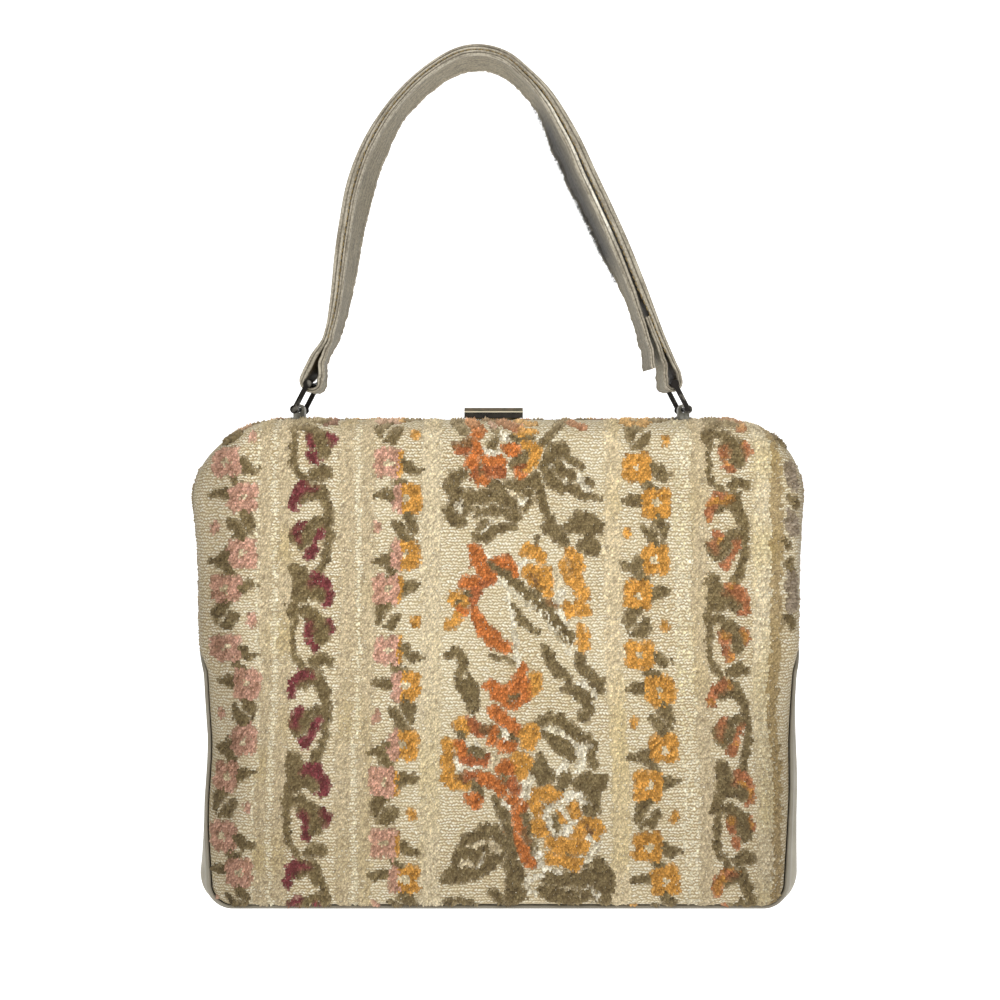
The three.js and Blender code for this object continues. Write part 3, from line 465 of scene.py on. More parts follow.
# Middle panel: its edges, and strokes of colour with their half widths and points across and down the picture
BOUQUET_EDGES = (434.0, 618.0)
BOUQUET = [
    # rose at the top
    ("olive", 7.0, ((457, 402), (459, 420), (463, 429))),
    ("orange", (5, 5.5, 6.5, 5), ((470, 404), (474, 418), (480, 429), (477, 435))),
    ("pink", 3.5, ((489, 412), (495, 424))),
    ("brown", 5.0, ((486, 402), (496, 407))),
    ("olive", 3.0, ((494, 427), (499, 430))),
    ("rust", 6.0, ((500, 408), (509, 418), (518, 427))),
    ("gold", 5.0, ((520, 410), (532, 416))),
    ("olive", 3.8, ((512, 436), (520, 441), (531, 438))),
    ("gold", 6.5, ((521, 431), (531, 431))),
    ("olive", 4.6, ((568, 400), (562, 417), (550, 434), (540, 445))),
    ("rust", 4.6, ((572, 408), (576, 420), (584, 423))),
    ("white", 4.5, ((503, 433), (508, 438))),
    ("olive", 5.0, ((493, 444), (497, 440))),
    ("white", 3.6, ((487, 450), (497, 453))),
    ("brown", 5.0, ((457, 446), (468, 443))),
    ("rust", 4.0, ((458, 450), (467, 449))),
    ("orange", 6.6, ((476, 446), (477, 453))),
    ("orange", 6.6, ((510, 448), (515, 450))),
    ("gold", 5.2, ((526, 444), (537, 450))),
    ("olive", (5, 5, 4), ((530, 452), (521, 458), (513, 466))),
    ("gold", 5.6, ((537, 451), (534, 460), (527, 469))),
    ("orange", 7.2, ((472, 461), (474, 468))),
    ("rust", 6.2, ((477, 473), (489, 471), (500, 472))),
    ("orange", 6.8, ((488, 461), (500, 461))),
    ("brown", 3.4, ((480, 468), (482, 475))),
    ("orange", 4.6, ((480, 480), (485, 481))),
    ("rust", 4.0, ((516, 467), (524, 465))),
    ("olive", 4.6, ((511, 484), (524, 484), (533, 481))),
    ("orange", 5.2, ((518, 475), (521, 477))),
    ("olive", 5.6, ((534, 479), (537, 487))),
    # leaf on the right
    ("olive", 7.4, ((553, 450), (561, 449))),
    ("olive", (5.4, 5.4, 4), ((563, 453), (572, 460), (581, 465))),
    ("olive", (5, 5.6, 5.6), ((549, 456), (545, 468), (550, 479))),
    ("olive", 6.2, ((556, 464), (562, 474), (571, 475))),
    ("olive", 5.6, ((552, 482), (562, 488), (574, 490))),
    ("olive", (5, 5, 3), ((576, 490), (588, 496), (600, 498))),
    ("olive", 3.6, ((588, 479), (591, 485))),
    ("white", 3.4, ((564, 464), (572, 465))),
    ("white", 3.0, ((550, 465), (553, 470))),
    ("white", 3.4, ((562, 480), (569, 484))),
    ("white", 4.6, ((581, 479), (586, 486))),
    ("white", 3.0, ((588, 489), (591, 492))),
    # scroll on the left
    ("olive", (6, 7.6, 8, 7), ((463, 475), (453, 480), (452, 490), (459, 496))),
    ("olive", (7, 7, 7.6, 7.6, 7), ((466, 497), (478, 497), (490, 496), (500, 498), (510, 503))),
    ("olive", 5.0, ((490, 485), (502, 488))),
    ("olive", 4.0, ((508, 487), (518, 490), (526, 494))),
    ("pale", 3.6, ((508, 492), (516, 495))),
    ("white", 4.4, ((519, 500), (524, 502))),
    ("olive", 4.0, ((528, 494), (528, 502), (525, 511))),
    ("olive", 4.2, ((515, 510), (516, 519))),
    ("olive", (5.5, 6.2, 6.2, 5), ((453, 500), (449, 510), (450, 517), (462, 522))),
    ("olive", 3.6, ((465, 505), (471, 504), (463, 515))),
    ("white", 4.8, ((459, 503), (460, 510))),
    ("olive", 4.6, ((478, 512), (492, 511), (506, 513), (516, 519))),
    ("olive", (4, 6.4, 6, 5.6, 4), ((475, 535), (482, 537), (492, 532), (503, 528), (514, 527))),
    ("olive", 3.6, ((481, 526), (486, 522))),
    ("white", 2.8, ((482, 531), (490, 525))),
    # stem and three-lobed leaf
    ("olive", (4.4, 4.6, 5, 5.6), ((538, 488), (541, 500), (546, 512), (551, 524))),
    ("olive", (6.4, 8, 7.6), ((549, 527), (556, 533), (562, 540))),
    ("olive", (8, 11, 10.4, 7.6), ((570, 527), (581, 523), (590, 523), (597, 526))),
    ("olive", 6.6, ((588, 530), (590, 540))),
    ("olive", (8, 9.6, 8), ((586, 545), (590, 546), (595, 548))),
    ("olive", 2.0, ((535, 533), (536, 543))),
    # flowers in the middle
    ("orange", (5.6, 7, 7.6, 7.2, 6), ((473, 547), (478, 555), (480, 566), (486, 574), (494, 577))),
    ("orange", (5.6, 7.4, 6.4), ((497, 561), (506, 563), (514, 571))),
    ("white", 3.2, ((488, 558), (490, 560))),
    ("olive", (4, 4.6, 5, 5, 4.6), ((491, 566), (500, 570), (510, 578), (520, 588), (530, 596))),
    ("white", 4.2, ((520, 569), (527, 560))),
    ("gold", (5.6, 6.6, 6.6), ((525, 549), (533, 550), (541, 558))),
    ("gold", (9, 11, 9), ((532, 572), (539, 578), (545, 585))),
    ("gold", 6.6, ((548, 573), (549, 592))),
    ("brown", 3.4, ((533, 575), (538, 584))),
    ("olive", 3.0, ((540, 589), (536, 594))),
    ("pale", 4.0, ((557, 573), (556, 588))),
    ("white", 4.8, ((560, 593), (556, 604))),
    ("white", 4.0, ((560, 612), (565, 621))),
    ("gold", 4.4, ((563, 564), (567, 582))),
    ("gold", (7.4, 8, 8, 7), ((572, 554), (577, 562), (577, 573), (576, 583))),
    ("gold", 7.2, ((580, 590), (585, 594))),
    ("gold", 6.0, ((568, 606), (571, 614))),
    ("gold", 6.4, ((580, 605), (584, 612))),
    ("gold", (4, 6.6, 6), ((581, 628), (584, 640), (582, 647))),
    ("orange", 7.0, ((465, 583), (477, 584))),
    ("rust", 5.0, ((482, 583), (489, 581))),
    ("rust", (6, 5.4, 4), ((476, 590), (474, 598), (472, 607))),
    ("gold", 7.8, ((455, 599), (462, 600))),
    ("olive", 3.8, ((457, 602), (462, 601))),
    ("olive", 3.0, ((467, 592), (471, 595))),
    ("orange", 5.4, ((461, 609), (464, 612))),
    ("gold", (5.4, 4.8, 3), ((458, 617), (452, 624), (445, 626))),
    ("orange", (5.4, 7.2, 9, 8.4, 6), ((474, 612), (479, 622), (487, 633), (495, 640), (506, 648))),
    # worn stems
    ("olive", (5.6, 6.2, 7, 7, 6.4), ((536, 600), (546, 608), (553, 618), (560, 628), (569, 638))),
    ("brown", 4.0, ((547, 602), (556, 606))),
    ("olive", (3.4, 4.6, 4.6, 3.4), ((513, 607), (520, 619), (530, 627), (542, 634))),
    ("olive", (4.6, 6, 6.2, 5.6), ((545, 647), (550, 659), (558, 671), (567, 678))),
    ("olive", 2.2, ((491, 655), (498, 659), (506, 660), (514, 664))),
    # leaves and heart below
    ("olive", (4.6, 6, 5.6, 5.4, 4.6), ((579, 655), (582, 668), (590, 676), (599, 683), (600, 692))),
    ("olive", (5.4, 6.2, 6.8, 6.2, 5.4), ((568, 688), (578, 692), (586, 700), (590, 709), (584, 718))),
    ("white", 3.4, ((580, 683), (588, 687))),
    ("white", 3.0, ((593, 691), (594, 698))),
    ("olive", (4.6, 5, 4.8, 4), ((450, 655), (458, 652), (465, 661), (457, 675))),
    ("olive", (6.6, 9.6, 8.4, 5.4), ((460, 683), (468, 688), (472, 698), (472, 709))),
    ("olive", 3.2, ((470, 678), (471, 684))),
    ("orange", (5, 6.6, 8.4), ((521, 667), (521, 676), (516, 686))),
    ("orange", (8, 8.6, 9.4, 8), ((493, 686), (499, 693), (509, 697), (516, 701))),
    ("gold", (6.4, 7.6, 6.4), ((536, 676), (535, 685), (529, 692))),
    ("orange", 6.0, ((525, 684), (526, 697))),
    ("olive", 4.6, ((510, 697), (517, 695))),
    ("white", 2.0, ((514, 699), (515, 701))),
    # cluster of roses
    ("orange", (6.6, 6.8, 6.2, 5), ((493, 711), (502, 716), (510, 723), (516, 731))),
    ("gold", 8.0, ((460, 724), (465, 728))),
    ("rust", 6.0, ((470, 722), (479, 730))),
    ("olive", 4.0, ((459, 733), (464, 735))),
    ("brown", 4.6, ((481, 729), (489, 729))),
    ("orange", 5.6, ((493, 731), (492, 741))),
    ("olive", 3.2, ((499, 727), (500, 736))),
    ("white", 4.6, ((502, 727), (506, 736))),
    ("gold", (7.4, 8.6, 7.4), ((525, 734), (533, 731), (527, 744))),
    ("olive", 3.8, ((513, 733), (513, 743))),
    ("orange", 6.4, ((502, 745), (511, 746))),
    ("gold", (6.4, 8, 6.4), ((446, 744), (452, 748), (447, 758))),
    ("orange", 5.6, ((459, 744), (464, 753))),
    ("gold", 5.4, ((447, 763), (449, 771))),
    ("olive", 4.8, ((470, 752), (481, 752))),
    ("rust", 5.4, ((466, 759), (478, 761), (487, 760))),
    ("white", (2.4, 3.6, 3.4), ((454, 751), (457, 760), (463, 768))),
    ("white", 2.4, ((466, 742), (470, 746))),
    ("white", 3.6, ((476, 743), (478, 745))),
    ("white", 2.6, ((470, 768), (478, 766), (488, 766))),
    ("pale", 4.4, ((491, 764), (497, 757))),
    ("gold", (8, 8.4, 6.4), ((447, 779), (454, 782), (463, 784))),
    ("brown", 4.6, ((460, 777), (466, 779))),
    ("rust", 4.4, ((467, 777), (478, 776))),
    ("orange", 6.8, ((484, 778), (491, 780))),
    ("olive", (5, 6.4, 5), ((473, 784), (478, 788), (480, 795))),
    ("orange", (6.2, 6.8, 5.4), ((469, 798), (477, 800), (474, 806))),
    ("orange", 5.8, ((499, 783), (500, 792))),
    ("orange", (8, 8.6), ((502, 768), (510, 768))),
    ("gold", (8, 9.6, 8), ((518, 760), (525, 765), (520, 773))),
    ("white", 1.8, ((514, 760), (515, 763))),
    ("olive", 3.6, ((503, 775), (506, 782))),
    ("rust", 6.4, ((510, 784), (515, 790))),
    ("orange", 5.2, ((510, 798), (514, 801))),
    ("white", (4.6, 6.4, 5.6), ((529, 779), (526, 790), (524, 799))),
    ("white", 2.2, ((505, 804), (510, 808))),
    # leaves beside the cluster
    ("olive", (4.6, 6, 6.2, 6.4, 5), ((538, 723), (550, 717), (563, 722), (573, 729), (581, 741))),
    ("olive", (5.4, 6.6, 7.4, 6), ((547, 735), (556, 741), (566, 749), (572, 757))),
    ("white", 3.2, ((548, 729), (556, 731), (566, 736), (576, 745))),
    ("olive", (4, 5.2, 5.2, 4), ((587, 736), (593, 744), (591, 756), (595, 765))),
    ("white", 4.2, ((580, 748), (586, 756))),
    ("white", 3.0, ((590, 745), (586, 752))),
    ("olive", (4.6, 9.4, 10), ((541, 757), (540, 769), (545, 776))),
    ("white", 3.8, ((567, 763), (559, 775))),
    ("white", 3.4, ((583, 762), (580, 770))),
    ("olive", 5.8, ((566, 775), (562, 788))),
    ("olive", (7, 9.6, 8), ((578, 785), (590, 783), (602, 783))),
    ("olive", (8.4, 8, 7), ((594, 792), (594, 803), (590, 812))),
    # big rose
    ("gold", (7.6, 8.8, 7.2), ((536, 795), (545, 794), (555, 797))),
    ("gold", 6.8, ((534, 806), (538, 813))),
    ("gold", 8.4, ((537, 828), (541, 831))),
    ("orange", (6.2, 6, 6), ((522, 808), (516, 815), (519, 827))),
    ("olive", 4.2, ((523, 816), (529, 824), (530, 836))),
    ("brown", 4.0, ((524, 833), (530, 843))),
    ("orange", (5.6, 6.8, 6.8, 6), ((511, 836), (517, 844), (524, 853), (530, 864))),
    ("olive", 3.4, ((534, 845), (534, 853))),
    ("gold", (7.6, 8.4, 8.2), ((552, 845), (566, 848), (582, 848))),
    ("gold", (6, 7.4, 7), ((551, 860), (564, 862), (577, 866))),
    ("gold", (7, 6.8, 6.2), ((578, 834), (586, 826), (596, 825))),
    ("gold", 5.0, ((600, 831), (597, 838))),
    ("brown", 4.2, ((589, 828), (591, 832))),
    ("olive", 2.8, ((568, 853), (569, 857))),
    ("white", (3, 4, 4, 3.6), ((543, 818), (548, 808), (556, 803), (566, 800))),
    ("white", 4.4, ((549, 822), (550, 832))),
    ("white", 3.8, ((553, 837), (563, 836), (570, 830))),
    ("white", 4.2, ((570, 798), (580, 797), (587, 804))),
    ("white", 2.8, ((563, 808), (566, 818))),
    ("white", 3.2, ((581, 815), (576, 822))),
    ("olive", 4.2, ((555, 818), (557, 829))),
    ("gold", 3.8, ((560, 815), (563, 821))),
    ("gold", 5.4, ((574, 808), (577, 815))),
    ("white", 3.6, ((586, 839), (590, 842))),
    ("white", (3.8, 3.4, 3, 3, 3.4), ((537, 854), (541, 866), (550, 872), (566, 877), (582, 872))),
    ("white", (3.4, 3, 2.4), ((588, 864), (594, 852), (602, 838))),
    # stem and leaves at the bottom
    ("olive", (4.4, 5, 5, 5), ((494, 800), (500, 810), (506, 822), (509, 834))),
    ("olive", (4.6, 6, 6, 6, 6), ((509, 838), (512, 852), (511, 868), (512, 886), (510, 908))),
    ("olive", (4.6, 8, 9.4, 9.2, 7.6, 4),
     ((494, 829), (483, 833), (470, 845), (463, 858), (456, 870), (445, 882))),
    ("olive", (6, 7, 7.4, 6.8, 6, 4),
     ((497, 834), (502, 847), (496, 859), (487, 869), (471, 877), (451, 883))),
    ("olive", 5.0, ((487, 848), (476, 858), (466, 873))),
    ("pale", 4.4, ((470, 847), (482, 843))),
    ("pale", 3.8, ((491, 846), (498, 852))),
    ("pale", 4.8, ((461, 865), (469, 864))),
    ("white", (2.4, 3, 3.4), ((483, 853), (482, 862), (477, 869))),
    ("olive", 6.2, ((514, 868), (521, 878))),
    ("olive", 6.2, ((516, 886), (520, 899))),
    ("olive", (7, 9, 9, 9), ((549, 880), (562, 882), (578, 880), (592, 877))),
    ("olive", (8, 9, 9), ((545, 895), (560, 899), (580, 899))),
    ("olive", (8, 9.4, 8.4), ((599, 866), (605, 876), (607, 889))),
    ("olive", 8.4, ((596, 894), (606, 900))),
    ("white", (3.8, 4, 4.4, 3.8), ((540, 877), (530, 882), (528, 892), (536, 899))),
    ("white", (3, 4.8, 4.4), ((590, 889), (597, 896), (599, 902))),
    ("pale", 1.4, ((561, 891), (580, 892))),
    ("pale", 1.4, ((568, 897), (582, 898))),
    ("olive", 5.0, ((446, 906), (458, 904), (470, 907))),
    ("olive", 5.0, ((494, 896), (500, 906))),
]
# Bare ground where the middle panel's pile has worn away: half widths and points, and share of tufts gone
WORN = [(7.0, ((502, 586), (506, 606), (511, 630))), (6.0, ((528, 612), (541, 626), (551, 643)))]
WORN_SHARE = 0.9
# Loose threads along a worn edge: left, right, top and bottom of the run of the edge, half width as a share
# of that run, pitch, share of threads that are left, and how far inside the motif they count
WORN_FRINGE = [(497.0, 540.0, 578.0, 612.0), (536.0, 572.0, 606.0, 650.0)]
FRINGE_HALF = 0.16
FRINGE_PITCH = 1.9
FRINGE_SHARE = 0.7
FRINGE_INSIDE = 0.8
# White threads of a slit in the cloth: half width and points
WORN_SLIT = (1.8, ((502, 580), (507, 594), (510, 608), (513, 622), (515, 638), (518, 664)))
# Pile rubbed pale along the top edge: share, height where it starts and run to the full share
FADE = 0.4
FADE_FROM = 432.0
FADE_RUN = 14.0

# Pull of the cloth low on the bag: place across, shift across and shift down of the pattern
CLOTH_PULL = np.array([
    (150, -7, 3), (310, -7, 6), (396, -4, 11), (480, 0, 10),
    (560, 4, 10), (650, 11, 8), (740, 9, 3), (850, 6, 3),
])
PULL_ACROSS_FROM, PULL_ACROSS_RUN = 640.0, 130.0
PULL_DOWN_FROM, PULL_DOWN_RUN = 660.0, 220.0

# Grains of noise: length and width in mm, turn in degrees and seed, and points until the lattice repeats
GRAINS = {
    "sway_across": (2.8, 2.8, 0, 11),
    "sway_down": (2.8, 2.8, 0, 12),
    "second_bloom": (5.0, 5.0, 0, 13),
    "thin_patch": (26.0, 34.0, 20, 21),
    "streak": (4.0, 1.2, 48, 22),
    "clump": (2.0, 2.0, 0, 23),
    "yellowed": (15.0, 22.0, 0, 24),
    "ruffle": (7.0, 9.0, 0, 31),
    "frill": (1.3, 9.0, 0, 32),
}
LATTICE = 256
# Sway of the pattern's edges and stray of single tufts, in picture units
SWAY = 5.0
SWAY_STRAY = 0.7

# Bare specks: share of a motif's tufts, of its edge's tufts and how wide that edge is, share of a
# stripe's tufts outside thin patches, and what a patch adds
BARE_MOTIF = 0.004
BARE_EDGE = 0.2
BARE_EDGE_WIDTH = 0.8
BARE_STRIPE = 0.05
BARE_PATCH = 0.25
# Motifs rubbed pale at their edge: share and run inward
RUB = 0.35
RUB_RUN = 2.0
# Light and dark of single tufts: what streaks, clumps and chance add, the stripes' part of it, limits, and
# its power on red, green and blue
STREAK_SHADE, CLUMP_SHADE, STRAY_SHADE = 0.8, 0.35, 0.16
STRIPE_SHADE = 0.4
SHADE_LIMITS = (0.5, 1.6)
SHADE_POWERS = np.array((0.9, 1.0, 1.2))
# Bright tufts: share and brightness
BRIGHT_SHARE = 0.06
BRIGHT = 1.35
# Yellowed patches: strength on motifs and on stripes, and loss of red, green and blue
YELLOW_MOTIF, YELLOW_STRIPE = 0.3, 0.7
YELLOW_LOSS = np.array((0.06, 0.1, 0.3))
# Height of the pile: run inward to its full height, height at the edge and gain of motifs and stripes, and
# what streaks and clumps add
BULGE_RUN = 3.2
MOTIF_PILE = (0.62, 0.38)
STRIPE_PILE = (0.5, 0.12)
STREAK_RISE, CLUMP_RISE = 0.8, 0.3


def stroke_inside(across, down, reach, points):
    """How far each place lies inside a stroke along points, with one half width or one for each point."""
    widths = reach if isinstance(reach, tuple) else (reach,) * len(points)
    best = np.full(across.shape, -FAR)
    for (x0, y0), (x1, y1), start, end in zip(points[:-1], points[1:], widths[:-1], widths[1:]):
        span = max((x1 - x0) ** 2 + (y1 - y0) ** 2, TINY)
        share = np.clip(((across - x0) * (x1 - x0) + (down - y0) * (y1 - y0)) / span, 0, 1)
        gap = np.hypot(across - x0 - share * (x1 - x0), down - y0 - share * (y1 - y0))
        best = np.maximum(best, start + (end - start) * share - gap)
    return best


def grain(x, y, kind):
    """Smooth noise from 0 to 1 with one of the kinds of grains."""
    length, width, turn, seed = GRAINS[kind]
    angle = math.radians(turn)
    along = (x * math.cos(angle) + y * math.sin(angle)) / length
    aside = (y * math.cos(angle) - x * math.sin(angle)) / width
    lattice = np.random.default_rng(seed).random((LATTICE, LATTICE))
    column, row = np.floor(along).astype(int), np.floor(aside).astype(int)
    share_x, share_y = eased(along - column), eased(aside - row)
    corner = [[lattice[(row + j) % LATTICE, (column + i) % LATTICE] for i in (0, 1)] for j in (0, 1)]
    low = corner[0][0] * (1 - share_x) + corner[0][1] * share_x
    high = corner[1][0] * (1 - share_x) + corner[1][1] * share_x
    return low * (1 - share_y) + high * share_y


class Chart:
    """Colour and pile of each cell of the cloth."""

    def __init__(self, x, z):
        self.x, self.z = x, z
        sway_x = SWAY * (grain(x, z, "sway_across") - 0.5) + RANDOM.normal(0, SWAY_STRAY, len(x))
        sway_y = SWAY * (grain(x, z, "sway_down") - 0.5) + RANDOM.normal(0, SWAY_STRAY, len(x))
        across, down = picture_place(x, z)
        self.across, self.down = across + sway_x, down + sway_y
        self.even_across = PICTURE / 2 + (CENTRE_X + x - CAMERA_AT[0]) / PICTURE_MM + sway_x
        _, middle_down = picture_place(np.zeros(1), np.full(1, MIDDLE_Z))
        self.even_down = middle_down[0] + (MIDDLE_Z - z) / PICTURE_MM + sway_y
        sideways, downward = (np.interp(self.even_across, CLOTH_PULL[:, 0], CLOTH_PULL[:, i]) for i in (1, 2))
        self.even_across -= sideways * ramp(self.even_down, PULL_ACROSS_FROM, PULL_ACROSS_RUN)
        self.even_down -= downward * ramp(self.even_down, PULL_DOWN_FROM, PULL_DOWN_RUN)
        self.colour = np.zeros((len(x), 3))
        self.inside = np.zeros(len(x))
        self.motif = np.zeros(len(x), bool)

    def paint(self, colour, inside, motif=True, places=None, soft=0.0):
        """Lays a colour on the cells at places where inside is above 0; on a motif it fades in along soft."""
        if places is None:
            places = np.arange(len(self.x))
        hit = inside > 0
        cells = places[hit]
        share = np.where(self.motif[cells], ramp(inside[hit], 0, max(soft, TINY)), 1.0)[:, None]
        self.colour[cells] = self.colour[cells] * (1 - share) + PALETTE[colour] * share
        self.inside[cells] = np.maximum(self.inside[cells] * motif, inside[hit])
        self.motif[cells] = motif

    def stripes(self):
        for colour, left, right in STRIPES:
            edge = np.minimum(self.even_across - left, right - self.even_across)
            self.paint(colour, edge, motif=False)
        for place in LADDERS:
            rung = LADDER_HALF - np.abs(self.even_across - place)
            self.paint("ladder", np.where(np.floor(self.z / CELL_HEIGHT) % 2 == 0, rung, -1), motif=False)

    def flower_columns(self):
        for middle, first, left_colour, right_colour in FLOWER_COLUMNS:
            across = self.even_across - middle
            down = (self.even_down - first + FLOWER_LEAD) % REPEAT - FLOWER_LEAD
            for reach, points in FLOWER_LEAVES:
                self.paint("olive", stroke_inside(across, down, reach, points))
            for (x, y), colour in zip(FLOWER_SPECKS, (left_colour, right_colour)):
                self.paint(colour, SPECK_HALF - np.hypot(across - x, (down - y) / SPECK_TALL))
            for side, x, y in FLOWERS:
                self.flower(across - x, down - y, side, left_colour, right_colour)

    def flower(self, across, down, side, left_colour, right_colour):
        petals = PETAL_HALF - np.hypot(np.abs(across) - PETAL_AT[0], np.abs(down) - PETAL_AT[1])
        self.paint(left_colour if side == "left" else right_colour, petals)
        if left_colour != right_colour:
            other = right_colour if side == "left" else left_colour
            edge = across - LEFT_SECOND_FROM if side == "left" else RIGHT_SECOND_FROM - across
            self.paint(other, np.minimum(petals, edge))
        self.paint("pale", np.minimum(HEART_HALF - np.hypot(across, down * HEART_SQUASH), 1.0))

    def vine_columns(self):
        other = grain(self.x, self.z, "second_bloom") > SECOND_BLOOM_FROM
        for left, start, (bloom, second), share in VINE_COLUMNS:
            across = self.even_across - left
            for colour, reach, points in VINE:
                middle = np.mean(points, axis=0)[1]
                down = (self.even_down - start - middle + REPEAT / 2) % REPEAT - REPEAT / 2 + middle
                if colour == "bloom":
                    reach = tuple(share * np.broadcast_to(reach, len(points)))
                    inside = stroke_inside(across, down, reach, points)
                    self.paint(bloom, inside, soft=VINE_BLEND)
                    self.paint(second, np.where(other, inside, -1), soft=VINE_BLEND)
                else:
                    self.paint(colour, stroke_inside(across, down, reach, points))
        down = np.where(self.even_down < SIDE_LEAVES_TO, (self.even_down - SIDE_LEAVES_FROM) % REPEAT, -FAR)
        for colour, reach, points in SIDE_LEAVES:
            self.paint(colour, stroke_inside(self.even_across, down, reach, points))

    def bouquet(self, worn):
        left, right = BOUQUET_EDGES
        places = np.flatnonzero((self.across > left) & (self.across < right))
        across, down = self.across[places], self.down[places]
        for colour, reach, points in BOUQUET:
            inside = stroke_inside(across, down, reach, points)
            if colour == "white":
                inside = inside - WHITE_BREAK * RANDOM.random(len(places))
            self.paint(colour, inside, places=places, soft=BOUQUET_BLEND)
        if worn:
            self.wear_bouquet(places, across, down)

    def wear_bouquet(self, places, across, down):
        """Bare ground and loose white threads where the middle panel's pile has gone."""
        for reach, points in WORN:
            bare = stroke_inside(across, down, reach, points) > 0
            self.inside[places[bare & (RANDOM.random(len(places)) < WORN_SHARE)]] = 0
        for left, right, top, bottom in WORN_FRINGE:
            slope = (down - top) / (bottom - top) - (across - left) / (right - left)
            fringe = (across > left) & (across < right) & (np.abs(slope) < FRINGE_HALF)
            thread = np.floor(across / FRINGE_PITCH) % 2 == 0
            thread &= fringe & (RANDOM.random(len(places)) < FRINGE_SHARE)
            self.paint("white", np.where(thread, FRINGE_INSIDE, -1), places=places)
        self.paint("white", stroke_inside(across, down, *WORN_SLIT), places=places)

    def finish(self):
        """Bare specks, faded edges and the light, dark and height of single tufts."""
        self.thin_out()
        self.fade()
        streak = grain(self.x, self.z, "streak") - 0.5
        clump = grain(self.x, self.z, "clump") - 0.5
        self.shade(streak, clump)
        bulge = np.sqrt(ramp(self.inside, 0, BULGE_RUN))
        tall = np.where(self.motif, *(edge + gain * bulge for edge, gain in (MOTIF_PILE, STRIPE_PILE)))
        self.rise = tall * (1 + STREAK_RISE * streak + CLUMP_RISE * clump)

    def thin_out(self):
        """Takes single tufts away."""
        chance = RANDOM.random(len(self.x))
        patch = grain(self.x, self.z, "thin_patch")
        bare = chance < np.where(self.motif, BARE_MOTIF, BARE_STRIPE + BARE_PATCH * patch)
        ragged = self.motif & (self.inside < BARE_EDGE_WIDTH) & (chance < BARE_EDGE)
        self.inside[bare | ragged] = 0

    def fade(self):
        """Rubs the motifs' edges and the top edge pale."""
        coloured = self.motif & (self.colour[:, 1] < PALETTE["velvet"][1])
        rubbed = RUB * coloured * np.clip(1 - self.inside / RUB_RUN, 0, 1)
        faded = np.maximum(rubbed, FADE * ramp(-self.even_down, -FADE_FROM, FADE_RUN))[:, None]
        self.colour = self.colour * (1 - faded) + PALETTE["velvet"] * faded

    def shade(self, streak, clump):
        """Makes single tufts lighter and darker, and patches yellow."""
        depth = np.where(self.motif, 1.0, STRIPE_SHADE)
        stray = RANDOM.normal(0, STRAY_SHADE, len(self.x))
        shade = 1 + depth * (STREAK_SHADE * streak + CLUMP_SHADE * clump + stray)
        shade = np.where(RANDOM.random(len(self.x)) < BRIGHT_SHARE * depth, shade * BRIGHT, shade)
        self.colour *= np.clip(shade, *SHADE_LIMITS)[:, None] ** SHADE_POWERS
        yellow = np.clip(grain(self.x, self.z, "yellowed") - 0.5, 0, 1) * 2
        yellow = yellow * np.where(self.motif, YELLOW_MOTIF, YELLOW_STRIPE)
        self.colour *= 1 - yellow[:, None] * YELLOW_LOSS


# Meshes


def new_mesh(name, points, *face_groups, smooth=True):
    """Object from points in mm and groups of faces, each group with faces of one length."""
    points = np.asarray(points, float) * MM
    groups = [np.asarray(group, np.int32) for group in face_groups]
    sizes = np.concatenate([np.full(len(group), group.shape[1], np.int32) for group in groups])
    mesh = bpy.data.meshes.new(name)
    mesh.vertices.add(len(points))
    mesh.vertices.foreach_set("co", points.astype(np.float32).ravel())
    mesh.loops.add(int(sizes.sum()))
    mesh.loops.foreach_set("vertex_index", np.concatenate([group.ravel() for group in groups]))
    mesh.polygons.add(len(sizes))
    mesh.polygons.foreach_set("loop_start", np.concatenate(([0], np.cumsum(sizes)[:-1])).astype(np.int32))
    mesh.polygons.foreach_set("use_smooth", np.full(len(sizes), smooth))
    mesh.update(calc_edges=True)
    mesh.validate()
    thing = bpy.data.objects.new(name, mesh)
    bpy.context.scene.collection.objects.link(thing)
    return thing


UV_MARGIN = 0.01


def set_uv(thing, places):
    """UV map of a mesh from a place for each of its points."""
    layer = thing.data.uv_layers.new(name="OFBake")
    corners = np.empty(len(thing.data.loops), np.int32)
    thing.data.loops.foreach_get("vertex_index", corners)
    layer.data.foreach_set("uv", np.asarray(places, np.float32)[corners].ravel())


def set_colour(thing, colours):
    layer = thing.data.color_attributes.new("tint", "FLOAT_COLOR", "POINT")
    full = np.column_stack((colours, np.ones(len(colours))))
    layer.data.foreach_set("color", full.astype(np.float32).ravel())


def add_wall(thing, thickness):
    """Gives a thin surface its thickness, inward."""
    wall = thing.modifiers.new("wall", "SOLIDIFY")
    wall.thickness = thickness * MM
    wall.offset = -1


# Painted shade on the turned edges, where the cloth turns away from the light: turn of the cloth where it
# starts, run to the full, and what is missing low down on the left and on the right
TURN_SHADE_FROM, TURN_SHADE_RUN = 0.25, 0.65
TURN_SHADE_SPARED_LEFT, TURN_SHADE_SPARED_RIGHT = 0.4, 0.6
# Painted shade, darker towards the bottom: distances below the top where the upper and the lower part start,
# run to the full, and strength of the lower part
LOW_SHADE_FROM, LOWEST_SHADE_FROM, LOW_SHADE_RUN = 40.0, 110.0, 120.0
LOWEST_SHADE = 0.38
# Painted shade, with some grime, on the face's side edges: strength and what changes low down, on the left
# and on the right, and the distance from the middle where it starts and its run
EDGE_SHADE_LEFT, EDGE_SHADE_SPARED_LEFT = 0.75, 0.4
EDGE_SHADE_RIGHT, EDGE_LOW_RIGHT = 0.2, 0.2
EDGE_SHADE_FROM, EDGE_SHADE_RUN = 126.0, 11.0
